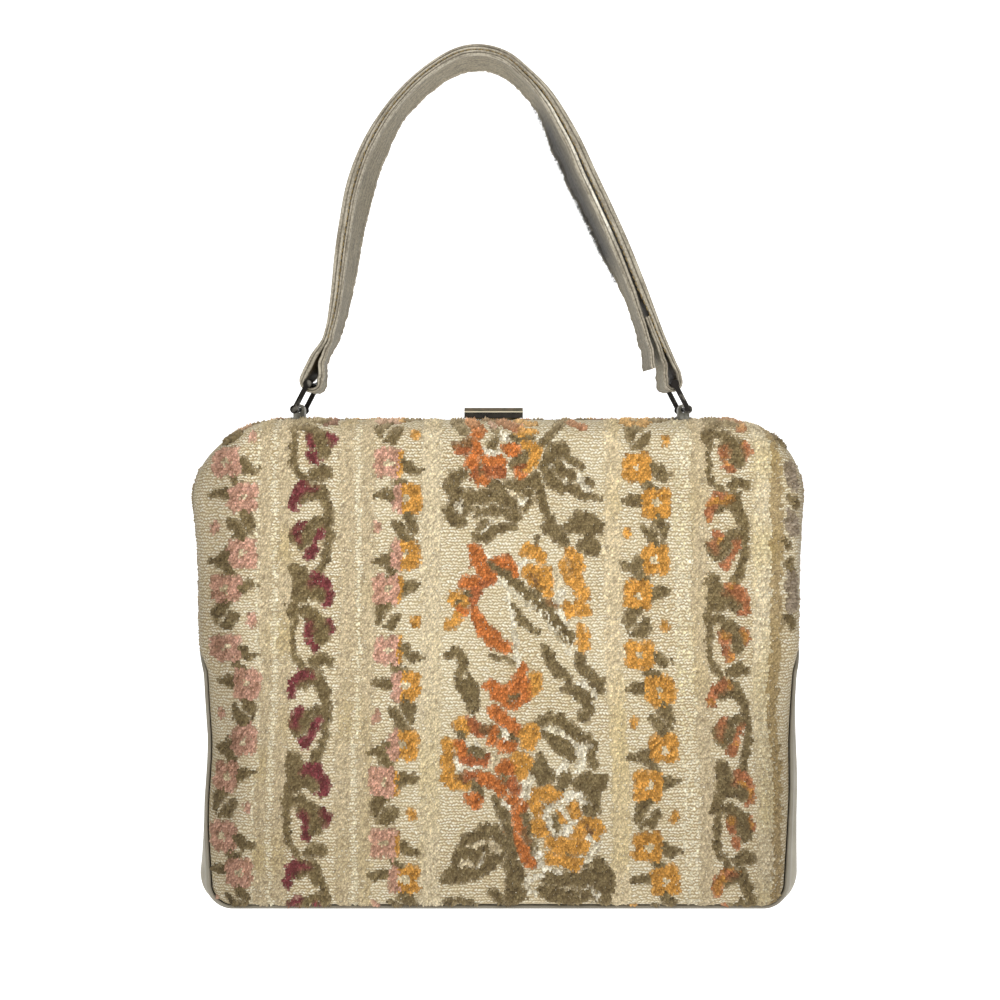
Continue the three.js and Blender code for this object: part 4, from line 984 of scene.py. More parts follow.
# Painted shade on the face's lower sides: left and right strength, distance from the middle and run
SIDE_SHADE_LEFT, SIDE_SHADE_RIGHT = 0.6, 0.4
SIDE_SHADE_FROM, SIDE_SHADE_RUN = 95.0, 55.0
# What full painted shade and grime take from red, green and blue
SHADE_AND_GRIME_LOSS = np.array((0.42, 0.44, 0.47))


def grime_and_painted_shade(point, way):
    """Painted shade with some grime: darker where the cloth turns to the sides and below, and to the face's
    lower sides.
    """
    x = point[:, 0] - CENTRE_X
    far = np.abs(x)
    low = ramp(-point[:, 2], LOW_SHADE_FROM - TOP_Z, LOW_SHADE_RUN)
    lowest = ramp(-point[:, 2], LOWEST_SHADE_FROM - TOP_Z, LOW_SHADE_RUN)
    # Painted shade on the turned edges, the side edges, the lower sides and low down; the side edges hold
    # some grime too
    rolled = ramp(np.maximum(np.abs(way[:, 0]), -way[:, 2]), TURN_SHADE_FROM, TURN_SHADE_RUN)
    rolled *= 1 - np.where(x > 0, TURN_SHADE_SPARED_RIGHT, TURN_SHADE_SPARED_LEFT) * low * np.abs(way[:, 0])
    left_edge = EDGE_SHADE_LEFT - EDGE_SHADE_SPARED_LEFT * lowest
    right_edge = EDGE_SHADE_RIGHT + EDGE_LOW_RIGHT * low
    edge = np.where(x < 0, left_edge, right_edge) * ramp(far, EDGE_SHADE_FROM, EDGE_SHADE_RUN)
    aside = np.where(x < 0, SIDE_SHADE_LEFT, SIDE_SHADE_RIGHT) * ramp(far, SIDE_SHADE_FROM, SIDE_SHADE_RUN)
    grime = np.maximum(rolled, edge + aside * low + LOWEST_SHADE * lowest)
    return 1 - np.outer(np.minimum(grime, 1), SHADE_AND_GRIME_LOSS)


def cloth_uv(x, z):
    return np.column_stack((x / CLOTH_SQUARE + 0.5, (z - MIDDLE_Z) / CLOTH_SQUARE + 0.5))


def turned(points, back):
    """The back panel is the front panel turned half round."""
    if not back:
        return points
    return np.column_stack((2 * CENTRE_X - points[:, 0], 2 * MOUTH_Y - points[:, 1], points[:, 2]))


# Waist of the bag below the frame's legs: heights where it starts, is full, ends to be full and is over, and
# how far it goes in, on the left and on the right
WAIST = {-1: (-292.0, -308.0, -335.0, -385.0, 4.0), 1: (-292.0, -308.0, -318.0, -372.0, 2.5)}
WAIST_FROM_X, WAIST_RUN_X = 100.0, 45.0
# Draw of the panels' lower side edges, which bares the gusset: how far on the left and on the right, heights
# where it starts and is full, distances from the middle where it starts and is full, depth where it is full
# and the power of that depth
EDGE_DRAW = {-1: 1.4, 1: 2.4}
EDGE_DRAW_Z = (-295.0, -340.0)
EDGE_DRAW_X = (120.0, 143.0)
EDGE_DRAW_Y = 26.0
EDGE_DRAW_POWER = 3


def waisted(points):
    """Points of the cloth with the sides drawn in below the frame's legs."""
    points = np.array(points)
    x = points[:, 0] - CENTRE_X
    far = ramp(np.abs(x), WAIST_FROM_X, WAIST_RUN_X)
    for side, (start, full, last, over, reach) in WAIST.items():
        share = eased(np.interp(-points[:, 2], (-start, -full, -last, -over), (0, 1, 1, 0)))
        points[:, 0] -= np.where(x * side > 0, side * reach * far * share, 0)
    drawn = np.interp(-points[:, 2], (-EDGE_DRAW_Z[0], -EDGE_DRAW_Z[1]), (0, 1))
    drawn *= np.interp(np.abs(x), EDGE_DRAW_X, (0, 1))
    drawn *= ramp(np.abs(points[:, 1] - MOUTH_Y), 0, EDGE_DRAW_Y) ** EDGE_DRAW_POWER
    for side, reach in EDGE_DRAW.items():
        points[:, 0] -= np.where(x * side > 0, side * reach * drawn, 0)
    return points


def strips(rows, columns, closed):
    """Four-sided faces between rows of points, with each row closed on itself or open."""
    across = columns if closed else columns - 1
    row, column = np.meshgrid(np.arange(rows - 1), np.arange(across), indexing="ij")
    following = (column + 1) % columns
    a, b = row * columns + column, row * columns + following
    return np.stack((a, b, b + columns, a + columns), axis=-1).reshape(-1, 4)


def spikes(count, sides):
    """Faces of so many spikes, each with the corners of its foot and then its tip as points."""
    base = np.arange(count)[:, None] * (sides + 1)
    return np.concatenate([base + np.array((i, (i + 1) % sides, sides)) for i in range(sides)])


# Rings of the ground, as shares of the face's outline and as steps of the roll
FACE_RINGS = np.array((0.02, 0.08, 0.16, 0.25, 0.34, 0.43, 0.52, 0.6, 0.68, 0.76, 0.83, 0.89, 0.94, 0.97))
ROLL_RINGS = np.arange(0, ROLL_STEPS + 1, 2)


def panel_ground(name, back):
    """Woven ground: rings from the middle of the face out and round to the seam."""
    points, places, ways = [], [], []
    for share in FACE_RINGS:
        x, z = FACE[:, 0] * share, MIDDLE_Z + (FACE[:, 1] - MIDDLE_Z) * share
        point, way = face_spot(x, z)
        points.append(point - way * GROUND_SINK)
        places.append(np.column_stack((x, z)))
        ways.append(way)
    for step in ROLL_RINGS:
        point, way = body_spot(MOUTH, OUT, INSET, DEPTH, ROLL_ACROSS[:, step])
        points.append(point - way * GROUND_SINK)
        places.append(FACE + OUT * (ROLL_LENGTH * step / ROLL_STEPS)[:, None])
        ways.append(way)
    middle, way = face_spot(np.zeros(1), np.full(1, MIDDLE_Z))
    points.append(middle - way * GROUND_SINK)
    places.append(np.array([(0.0, MIDDLE_Z)]))
    ways.append(way)
    places = np.vstack(places)
    rings = len(FACE_RINGS) + len(ROLL_RINGS)
    around = np.arange(RING)
    fan = np.column_stack((np.full(RING, rings * RING), (around + 1) % RING, around))
    outside = waisted(turned(np.vstack(points), back))
    thing = new_mesh(name, outside, strips(rings, RING, True)[:, ::-1], fan[:, ::-1])
    set_uv(thing, cloth_uv(places[:, 0], places[:, 1]))
    # The ground's tint is painted shade, with some grime, on the turned edges and the lower face
    set_colour(thing, grime_and_painted_shade(np.vstack(points), np.vstack(ways)))
    add_wall(thing, CLOTH_WALL)
    return thing


def cell_grid():
    """Middles of the cells of a cloth that covers the panel, each second row half a cell along."""
    rows = np.arange(int((TOP_Z - BOTTOM_Z + GRID_ROOM) / CELL_HEIGHT))
    columns = np.arange(int(2 * (HALF_WIDTH + GRID_MARGIN) / CELL_WIDTH))
    row, column = np.meshgrid(rows, columns, indexing="ij")
    x = ((column + 0.5 * (row % 2)) * CELL_WIDTH - HALF_WIDTH - GRID_MARGIN).ravel()
    z = (TOP_Z + GRID_MARGIN - row * CELL_HEIGHT).ravel()
    near = (np.abs(x) < HALF_WIDTH + CLOTH_BESIDE) & (z > BOTTOM_Z - CLOTH_BELOW) & (z < TOP_Z + CLOTH_ABOVE)
    return x[near], z[near]


def cloth_axes(way):
    """Across and up along the cloth, from the turn that takes the flat face's direction to the cloth's."""
    flat = np.array((0.0, -1.0, 0.0))
    cosine = (way @ flat)[:, None]
    turn = np.cross(np.broadcast_to(flat, way.shape), way)
    axes = []
    for axis in (np.array((1.0, 0.0, 0.0)), np.array((0.0, 0.0, 1.0))):
        axes.append(axis * cosine + np.cross(turn, axis) + turn * (turn @ axis)[:, None] / (1 + cosine))
    return axes


TUFT_CORNERS = ((-1, -1), (1, -1), (1, 1), (-1, 1))


def pile_piece(name, x, z, point, way, colour, rise, back):
    """Cut pile: a four-sided tuft on each cell, leaning down and to the right."""
    across, up = cloth_axes(way)
    stray = RANDOM.normal(0, TUFT_STRAY, (2, len(x)))
    foot = point - way * GROUND_SINK + across * stray[0][:, None] + up * stray[1][:, None]
    corners = [foot + across * (side * CELL_WIDTH * TUFT_HALF) + up * (end * CELL_HEIGHT * TUFT_HALF)
               for side, end in TUFT_CORNERS]
    lean = np.array(PILE_LEAN)[:, None] + RANDOM.normal(0, LEAN_SPREAD, (2, len(x)))
    height = (PILE_HEIGHT * rise * RANDOM.normal(1, HEIGHT_SPREAD, len(x)))[:, None]
    tip = foot + way * height + across * lean[0][:, None] + up * lean[1][:, None]
    points = np.stack((*corners, tip), axis=1).reshape(-1, 3)
    thing = new_mesh(name, waisted(turned(points, back)), spikes(len(x), len(TUFT_CORNERS)))
    # Painted shade on each tuft's foot and a painted highlight on its tip
    shade = np.array((*(FOOT_PAINTED_SHADE for _ in TUFT_CORNERS), TIP_PAINTED_HIGHLIGHT))
    # Painted shade, with some grime, on the pile's turned edges and lower face, as on the ground
    colour = colour * grime_and_painted_shade(point, way)
    set_colour(thing, (colour[:, None, :] * shade[None, :, None]).reshape(-1, 3))
    places = [cloth_uv(x + side * CELL_WIDTH / 2, z + end * CELL_HEIGHT / 2)
              for side, end in (*TUFT_CORNERS, (0, 0))]
    set_uv(thing, np.stack(places, axis=1).reshape(-1, 2))
    return thing


def panel_pile(name, back):
    """Pile of one panel in two pieces, the left half and the right half."""
    x, z = cell_grid()
    chart = Chart(x, z)
    chart.stripes()
    chart.flower_columns()
    chart.vine_columns()
    chart.bouquet(worn=not back)
    chart.finish()
    kept = chart.inside > 0
    x, z, colour, rise = x[kept], z[kept], chart.colour[kept], chart.rise[kept]
    point, way, there = cloth_spot(x, z)
    pieces = []
    for word, half in (("left", x < 0), ("right", x >= 0)):
        use = there & half
        pieces.append(pile_piece(f"{name}_{word}", x[use], z[use], point[use], way[use],
                                 colour[use], rise[use], back))
    return pieces


# Gusset

# Columns of points across it, gap to the seam, wall, and side of the square of its UV map
GUSSET_COLUMNS = 33
GUSSET_GAP = 0.15
GUSSET_WALL = 1.6
GUSSET_SQUARE = 800.0
# How much of the gusset's bulge has fallen in on the left and on the right, how deep its hollow is, and the
# run from the bottom corners to it
GUSSET_FALL = {-1: 0.4, 1: 0.1}
GUSSET_HOLLOW = 3.0
GUSSET_FALL_RUN = 30.0
# Fold beside each seam: depth, place and width as shares of the reach, and the reach where it is full
FOLD_DEPTH, FOLD_AT, FOLD_WIDTH, FOLD_REACH = 1.1, 0.82, 0.06, 20.0
# Painted shade along the seams: how dark, and share of the reach where it starts
SEAM_SHADE, SEAM_SHADE_FROM = 0.3, 0.88
# Swell of the vinyl over the left rivet of the frame's hinge: its height, spread and rise
RIVET_Z = -302.5
RIVET_SPREAD = 4.0
RIVET_RISE = 1.9


def gusset_row(station, shares, reach):
    """Points across the gusset at one station of the outline."""
    ones = np.ones(len(shares))
    point, way = body_spot(MOUTH[station] * ones[:, None], OUT[station] * ones[:, None],
                           INSET[station] * ones, DEPTH[station] * ones, shares * reach)
    fold = FOLD_DEPTH * np.exp(-((np.abs(shares) - FOLD_AT) / FOLD_WIDTH) ** 2) * min(1, reach / FOLD_REACH)
    point -= way * fold[:, None]
    side = 1 if MOUTH[station, 0] > 0 else -1
    height = MOUTH[station, 1]
    ease = ramp(-height, -LEG_END_Z, GUSSET_SHOULDER)
    ease *= ramp(height, BOTTOM_Z + BOTTOM_RADIUS, GUSSET_FALL_RUN)
    fallen = point[0, 0] - side * GUSSET_HOLLOW * (1 - shares**2)
    point[:, 0] += GUSSET_FALL[side] * ease * (fallen - point[:, 0])
    if side < 0:
        apart = (point[:, 1] - MOUTH_Y) ** 2 + (point[:, 2] - RIVET_Z) ** 2
        point[:, 0] -= RIVET_RISE * np.exp(-apart / RIVET_SPREAD**2)
    return point


def gusset_piece():
    """Vinyl wedge down each side and across the bottom, between the two seams."""
    order = np.concatenate((np.arange(RING - GUSSET_RUN, RING), np.arange(0, LOW_RUN + 1)))
    shares = np.linspace(-1, 1, GUSSET_COLUMNS)
    points, places = [], []
    for station, place in zip(order, lengths_along(MOUTH[order])):
        reach = SEAM[station] - GUSSET_GAP
        points.append(gusset_row(station, shares, reach))
        places.append(np.column_stack((np.full(len(shares), place), shares * reach)))
    faces = strips(len(order), len(shares), False)[:, ::-1]
    thing = new_mesh("gusset_skin", waisted(np.vstack(points)), faces)
    # Painted shade darkens the gusset along both seams
    shade = 1 - SEAM_SHADE * ramp(np.abs(shares), SEAM_SHADE_FROM, 1 - SEAM_SHADE_FROM)
    set_colour(thing, np.tile(shade[:, None] * np.ones(3), (len(order), 1)))
    set_uv(thing, np.vstack(places) / GUSSET_SQUARE + np.array((UV_MARGIN, 0.5)))
    add_wall(thing, GUSSET_WALL)
    return thing


# Lip between the frame's halves: how far in from the frame's line it starts and ends, and half its thickness
LIP_FROM = 1.2
LIP_TO = 3.4
LIP_HALF = 0.13


def lip_piece():
    """Tongue of the frame that closes the slit between its halves."""
    run = np.arange(LOW_RUN, RING - GUSSET_RUN)
    corners = ((LIP_FROM, -LIP_HALF), (LIP_TO, -LIP_HALF), (LIP_TO, LIP_HALF), (LIP_FROM, LIP_HALF))
    rows = []
    for inward, y in corners:
        place = FRAME_LINE[run] - OUT[run] * inward
        rows.append(np.column_stack((CENTRE_X + place[:, 0], np.full(len(run), MOUTH_Y + y), place[:, 1])))
    points = np.stack(rows, axis=1).reshape(-1, 3)
    return new_mesh("frame_lip", points, strips(len(run), 4, True), smooth=False)


# Strap: one strip laid double, with a loop of it round each link
EYELET_Y = 0.1
LINK_LEAN = math.radians(28)
STRAP_PINS = {-1: (-86.1, -161.7), 1: (98.9, -161.7)}
LINK_PIN_RADIUS = 1.2
STRAP_WIDTH = 25.0
STRAP_PLY = 2.4
PLY_STEP = 2.8
STRAP_SQUARE = 900.0
# Loops round the links: side, radius, play on the pin, twist, swell of the ends, shift of the back edge from
# start to end, and start and end of the turn in degrees
LEFT_LOOP = {
    "side": -1, "radius": 5.0, "slack": 0.6, "twist": -0.06, "swell": 1.0,
    "shift": (1.6, -0.6), "turn": (165, 350),
}
RIGHT_LOOP = {
    "side": 1, "radius": 3.7, "slack": 0.25, "twist": 0.0, "swell": 0.4,
    "shift": (0.0, -1.2), "turn": (172, 375),
}
TAIL_FROM_ROW = 21
INNER_TO_ROW = 23
STEPS_PER_ROW = 22
WAY_STEP = 0.01
LOOP_STEPS = 30

# Middle of the outer ply: x, z, distance to the inner ply, distance to the turned-back end, twist
STRAP_ROWS = np.array([
    (-88.2, -154.6, 9.4, 0, -0.06), (-83.4, -146.6, 5.6, 0, -0.03), (-78.3, -140.3, 3.4, 0, 0),
    (-75.5, -133.8, PLY_STEP, 0, 0.04), (-72.9, -121.0, 3.6, 0, 0.07), (-70.0, -95.8, 4.2, 0, 0.07),
    (-67.6, -80.2, 4.2, 0, 0.06), (-64.0, -62.3, 4.2, 0, 0.05), (-56.4, -42.7, 3.8, 0, 0.03),
    (-43.6, -23.2, 3.2, 0, 0.01), (-27.6, -7.6, PLY_STEP, 0, 0), (-10.5, 2.4, PLY_STEP, 0, 0),
    (1.5, 4.0, PLY_STEP, 0, 0), (14.0, 0.6, PLY_STEP, 0, 0), (25.5, -8.4, 3.2, 0, 0),
    (35.0, -18.6, 3.8, 0, 0), (47.3, -37.9, 4.6, 0, 0), (57.0, -57.6, 5.2, 0, 0),
    (65.8, -75.6, 5.4, 0, 0), (73.0, -91.0, 5.5, 0, 0), (82.6, -114.0, 5.8, 0, 0),
    (87.7, -126.8, 6.0, PLY_STEP + 0.1, 0), (93.0, -139.7, 7.0, PLY_STEP + 0.1, 0),
    (97.6, -149.3, 10.0, 4.0, 0), (101.0, -155.6, 11.0, 7.0, 0),
])
# Plies along those rows: row, then half thickness outward and inward and the shift of the back edge,
# for the outer ply and for the inner one
STRAP_SHAPE = np.array([
    (0, 1.2, 2.2, 3.0, 1.2, 2.2, -0.9),
    (1, 1.2, 2.0, 2.0, 1.2, 2.0, -1.8),
    (2, 1.2, 1.5, 0.5, 1.2, 1.5, -1.8),
    (3, 1.2, 1.3, 0.0, 1.2, 1.2, -1.3),
    (4, 1.2, 2.0, 0.0, 1.2, 1.2, -0.8),
    (5, 1.2, 2.6, 0.0, 1.2, 1.2, 1.2),
    (7, 1.2, 2.6, 0.0, 1.2, 1.2, 2.8),
    (8, 1.2, 2.2, 0.0, 1.2, 1.2, 3.2),
    (9, 1.2, 1.6, 0.0, 1.2, 1.2, 0.6),
    (10, 1.2, 1.2, 0.0, 1.2, 1.2, 0.0),
    (14, 1.5, 1.4, 0.0, 1.2, 1.3, 0.0),
    (15, 2.0, 1.6, 0.0, 1.2, 1.6, -1.0),
    (16, 2.2, 2.0, 0.0, 1.2, 2.0, -4.2),
    (19, 2.2, 2.2, 0.0, 1.2, 2.2, -3.0),
    (20, 2.2, 2.2, 0.0, 1.2, 2.2, 0.2),
    (21, 2.0, 1.3, 0.0, 1.2, 1.3, -0.3),
    (22, 1.8, 1.2, 0.0, 1.2, 1.2, -0.8),
    (24, 1.2, 1.2, -1.5, 1.2, 1.2, -2.2),
])
OUTER, INNER = slice(1, 4), slice(4, 7)
PLAIN_PLY = (STRAP_PLY / 2, STRAP_PLY / 2, 0.0)
# Rows of the underside's dark band, and rows of the painted highlight on the inner ply's edge
DARK_BAND_ROWS = (14.6, 15.6, 19.0, 19.7)
HIGHLIGHT_ROWS = (14.4, 15.2, 18.4, 19.2)


def smooth_route(points, place):
    """Point of a centripetal curve through points, at a place counted in points."""
    index = min(int(place), len(points) - 2)
    share = place - index
    before = points[index - 1] if index else 2 * points[0] - points[1]
    after = points[index + 2] if index + 2 < len(points) else 2 * points[-1] - points[-2]
    p = [before, points[index], points[index + 1], after]
    d = [math.sqrt(np.linalg.norm(b - a)) for a, b in zip(p[:-1], p[1:])]
    start = (p[1] - p[0]) / d[0] - (p[2] - p[0]) / (d[0] + d[1]) + (p[2] - p[1]) / d[1]
    end = (p[2] - p[1]) / d[1] - (p[3] - p[1]) / (d[1] + d[2]) + (p[3] - p[2]) / d[2]
    start, end = start * d[1], end * d[1]
    square = -3 * p[1] + 3 * p[2] - 2 * start - end
    cube = 2 * p[1] - 2 * p[2] + start + end
    return p[1] + start * share + square * share**2 + cube * share**3


# Columns of the strap's curve after x, z and the way in: distance to the inner ply, distance to the
# turned-back end, twist and row; and the column of the row in its runs
TO_INNER, TO_TAIL, TWIST, ROW = 4, 5, 6, 7
RUN_ROW = 6


def strap_curve():
    """Rows of x, z, way in, inner, tail and twist along the outer ply, with their place in rows."""
    route, carried = STRAP_ROWS[:, :2], STRAP_ROWS[:, 2:]
    found = []
    for place in np.linspace(0, len(route) - 1, (len(route) - 1) * STEPS_PER_ROW + 1):
        low, high = max(place - WAY_STEP, 0), min(place + WAY_STEP, len(route) - 1)
        way = unit(smooth_route(route, high) - smooth_route(route, low))
        index = min(int(place), len(route) - 2)
        ease = eased(place - index)
        values = carried[index] * (1 - ease) + carried[index + 1] * ease
        found.append((*smooth_route(route, place), way[1], -way[0], *values, place))
    return np.array(found)


def shape_at(row, ply):
    """Half thickness outward and inward and the back edge's shift of one ply at each row."""
    return np.column_stack([np.interp(row, STRAP_SHAPE[:, 0], column) for column in STRAP_SHAPE[:, ply].T])


def ply_run(curve, offset, shape):
    middle = curve[:, :2] + curve[:, 2:4] * offset[:, None]
    return np.column_stack((middle, curve[:, TWIST], shape, curve[:, ROW]))


def loop_arc(loop):
    x, z = STRAP_PINS[loop["side"]]
    lift = loop["radius"] - STRAP_PLY / 2 - LINK_PIN_RADIUS - loop["slack"]
    x -= loop["side"] * lift * math.sin(LINK_LEAN)
    z += lift * math.cos(LINK_LEAN)
    angle = np.radians(np.linspace(*loop["turn"], LOOP_STEPS + 1))
    outward, inward, _ = PLAIN_PLY
    same = np.ones(len(angle))
    inward = inward + loop["swell"] * np.linspace(-1, 1, len(angle)) ** 4
    return np.column_stack((
        x + loop["radius"] * np.cos(angle), z + loop["radius"] * np.sin(angle), loop["twist"] * same,
        outward * same, inward, np.linspace(*loop["shift"], len(angle)), 0 * same))


def strap_runs():
    """Runs of the strip from its loose end on: x, z, twist, half thickness out and in, back shift, row."""
    curve = strap_curve()
    tail = curve[curve[:, ROW] >= TAIL_FROM_ROW]
    inner = curve[curve[:, ROW] <= INNER_TO_ROW]
    return {
        "tail": ply_run(tail, tail[:, TO_TAIL], np.tile(PLAIN_PLY, (len(tail), 1))),
        "right_loop": loop_arc(RIGHT_LOOP),
        "outer": ply_run(curve, np.zeros(len(curve)), shape_at(curve[:, ROW], OUTER))[::-1],
        "left_loop": loop_arc(LEFT_LOOP),
        "inner": ply_run(inner, inner[:, TO_INNER], shape_at(inner[:, ROW], INNER)),
    }


# Edge of the strap, two folded layers with a notch between: out and distance past the middle of the fold
STRAP_EDGE = [(1.2, -0.6), (1.2, 0.2), (0.95, 0.8), (0.6, 1.05), (0.28, 0.8), (0.0, 0.2)]
FOLD_INSET = 1.2
# Web between the edges: half thickness, distance to the middle of the fold and points across it
WEB_HALF = 0.8
WEB_INSET = 1.6
WEB_POINTS = 7
# Colour of the strap's edge: distance from the middle where it starts, run to the full and half of the notch
EDGE_TINT_FROM, EDGE_TINT_RUN = 9.6, 1.2
NOTCH_HALF = 0.1
# Where the underside's dark band starts across the strap, run to the full and least share of it
DARK_BAND_FROM, DARK_BAND_RUN, DARK_BAND_LEAST = -11.0, 13.0, 0.2
STRAP_TONES = {
    "underside": srgb(132, 123, 102),
    "dark_band": srgb(70, 67, 62),
    "between": srgb(116, 100, 72),
    "skin": srgb(160, 152, 128),
    "bead": srgb(168, 160, 144),
    "painted highlight": srgb(226, 220, 206),
    "notch": srgb(78, 70, 56),
}
# Unevenness of the back half: strength, what the underside's dark band adds, where it starts and run to the
# full
RUFFLE, RUFFLE_DARK_BAND = 0.7, 0.5
RUFFLE_FROM, RUFFLE_RUN = 2.0, 8.0


def strap_section():
    """Outline of the strap across its width, as (out, y): rolled edges with a thinner web between."""
    middle = STRAP_WIDTH / 2 - FOLD_INSET
    top = [(WEB_HALF, y) for y in np.linspace(-middle + WEB_INSET, middle - WEB_INSET, WEB_POINTS)]
    fold = [(out, middle + past) for out, past in STRAP_EDGE]
    one_side = top + fold + [(-out, y) for out, y in fold[-2::-1]]
    return np.array(one_side + [(-out, -y) for out, y in one_side])


def strap_tint(section, below, dark_band, white):
    """Colour of the strap: pale edges with painted shade in the notch and a painted highlight on some, a raw
    back between plies and a darker underside with a dark band.
    """
    out, y = section[:, 0], section[:, 1]
    edge = ramp(np.abs(y), EDGE_TINT_FROM, EDGE_TINT_RUN)[None, :, None]
    notch = (np.abs(out) < NOTCH_HALF)[None, :, None]
    faces_in = (out > 0)[None, :, None]
    below, dark_band, white = below[:, None, None], dark_band[:, None, None], white[:, None, None]
    dark_band = dark_band * np.clip((y - DARK_BAND_FROM) / DARK_BAND_RUN, DARK_BAND_LEAST, 1)[None, :, None]
    white = white * faces_in
    underside = STRAP_TONES["underside"] * (1 - dark_band) + STRAP_TONES["dark_band"] * dark_band
    web = np.where(faces_in, STRAP_TONES["between"], np.where(below, underside, STRAP_TONES["skin"]))
    # Painted highlight on the inner ply's edge where white is set
    bead = STRAP_TONES["bead"] * (1 - white) + STRAP_TONES["painted highlight"] * white
    # Darker notch between the two folded layers: painted shade in the groove
    rim = np.where(notch, STRAP_TONES["notch"], bead)
    return (web * (1 - edge) + rim * edge).reshape(-1, 3)


def back_shift(y, twist, shift):
    """How far a place across the strap is moved along x by its twist and by the shift of its back edge."""
    return twist * y + shift * (y / STRAP_WIDTH + 0.5)


def strap_piece():
    runs = strap_runs()
    route = np.vstack(list(runs.values()))
    below = np.concatenate([np.full(len(run), name == "inner") for name, run in runs.items()])
    twist, outward, inward, shift, row = route[:, 2:].T
    dark_band = below * np.interp(row, DARK_BAND_ROWS, (0, 1, 1, 0))
    # Rows where the inner ply's edge gets a painted highlight
    white = below * np.interp(row, HIGHLIGHT_ROWS, (0, 1, 1, 0))
    way = unit(np.gradient(route[:, :2], axis=0))
    normal = np.column_stack((-way[:, 1], way[:, 0]))
    section = strap_section()
    along = lengths_along(route[:, :2])
    out, y = section.T
    steps_along, steps_y = np.meshgrid(along, y, indexing="ij")
    ruffle = grain(steps_along, steps_y, "ruffle") + grain(steps_along, steps_y, "frill") - 1
    out = (out / STRAP_PLY + 0.5) * (outward + inward)[:, None] - outward[:, None]
    out = out - (RUFFLE + RUFFLE_DARK_BAND * dark_band)[:, None] * ruffle * ramp(y, RUFFLE_FROM, RUFFLE_RUN)
    aside = back_shift(y, twist[:, None], shift[:, None])
    x = route[:, 0, None] + normal[:, 0, None] * out + aside
    z = route[:, 1, None] + normal[:, 1, None] * out
    points = np.stack((x, EYELET_Y + steps_y, z), axis=-1).reshape(-1, 3)
    count = len(section)
    side = np.arange(count // 2 - 1)
    first_end = np.column_stack((side, side + 1, count - 2 - side, count - 1 - side))
    last_end = first_end[:, ::-1] + (len(route) - 1) * count
    thing = new_mesh("strap_skin", points, strips(len(route), count, True), first_end, last_end)
    places = np.stack(np.meshgrid(along, lengths_along(section), indexing="ij"), axis=-1).reshape(-1, 2)
    set_uv(thing, places / STRAP_SQUARE + UV_MARGIN)
    set_colour(thing, strap_tint(section, below, dark_band, white))
    return thing


# Loose fibre: count, crowding along the dark band, distance in from the edge, mean and spread of its way
# along x, y and z, length, width and corners of its foot
HAIRS = 1500
HAIR_CROWDING = (1.8, 1.4)
HAIR_INSET = (0.2, 4.0)
HAIR_WAY = ((-0.7, 0.3), (0.3, 0.3), (-0.7, 0.5))
HAIR_LENGTH = (0.8, 2.8)
HAIR_WIDTH = 0.26
HAIR_FOOT = np.array(((0, 0, 1), (0, 1, -0.5), (0, -1, -0.5)))


def hairs_piece():
    """Loose fibre along the back edge of the strap's underside, over its dark band."""
    inner = strap_runs()["inner"]
    inner = inner[(inner[:, RUN_ROW] >= DARK_BAND_ROWS[0]) & (inner[:, RUN_ROW] <= DARK_BAND_ROWS[-1])]
    place = (len(inner) - 1) * RANDOM.beta(*HAIR_CROWDING, HAIRS)
    rows = np.arange(len(inner))
    x, z, twist, outward, _, shift, _ = (np.interp(place, rows, column) for column in inner.T)
    y = STRAP_WIDTH / 2 - RANDOM.uniform(*HAIR_INSET, HAIRS)
    root = np.column_stack((x - outward + back_shift(y, twist, shift), EYELET_Y + y, z))
    way = unit(np.column_stack([RANDOM.normal(mean, spread, HAIRS) for mean, spread in HAIR_WAY]))
    tip = root + way * RANDOM.uniform(*HAIR_LENGTH, (HAIRS, 1))
    foot = HAIR_FOOT * HAIR_WIDTH / 2
    points = np.concatenate((root[:, None, :] + foot[None], tip[:, None, :]), axis=1).reshape(-1, 3)
    return new_mesh("strap_hairs", points, spikes(HAIRS, len(HAIR_FOOT)))


# Stitches: pitch, length, radius, distance in from the strap's edge, lift, spread of their tilt, and sides
STITCH_PITCH = 3.3
STITCH_LENGTH = 2.5
STITCH_RADIUS = 0.32
STITCH_INSET = 0.75
STITCH_LIFT = 0.1
STITCH_TILT = 0.12
STITCH_SIDES = 6
# Rings of a stitch: share of the length from its middle, and share of the radius
STITCH_RINGS = ((-0.5, 0.25), (-0.3, 0.9), (0.3, 0.9), (0.5, 0.25))
# Rows of the strap between which it is sewn, and distance to the first stitch
STITCH_ROWS = (2.2, 22.5)
STITCH_START = 2.0


def stitch(middle, way, tilt):
    """Points of one thread stitch, a short spindle along way."""
    rise = np.array((-way[1], 0, way[0]))
    front = np.array((0.0, -1.0, 0.0))
    run = np.array((way[0], 0, way[1])) + rise * tilt
    turn = np.radians(np.arange(STITCH_SIDES) * 360 / STITCH_SIDES)
    rings = []
    for share, size in STITCH_RINGS:
        ring = np.outer(np.cos(turn), rise) + np.outer(np.sin(turn), front)
        rings.append(middle + run * (share * STITCH_LENGTH) + ring * (STITCH_RADIUS * size))
    return np.vstack(rings)


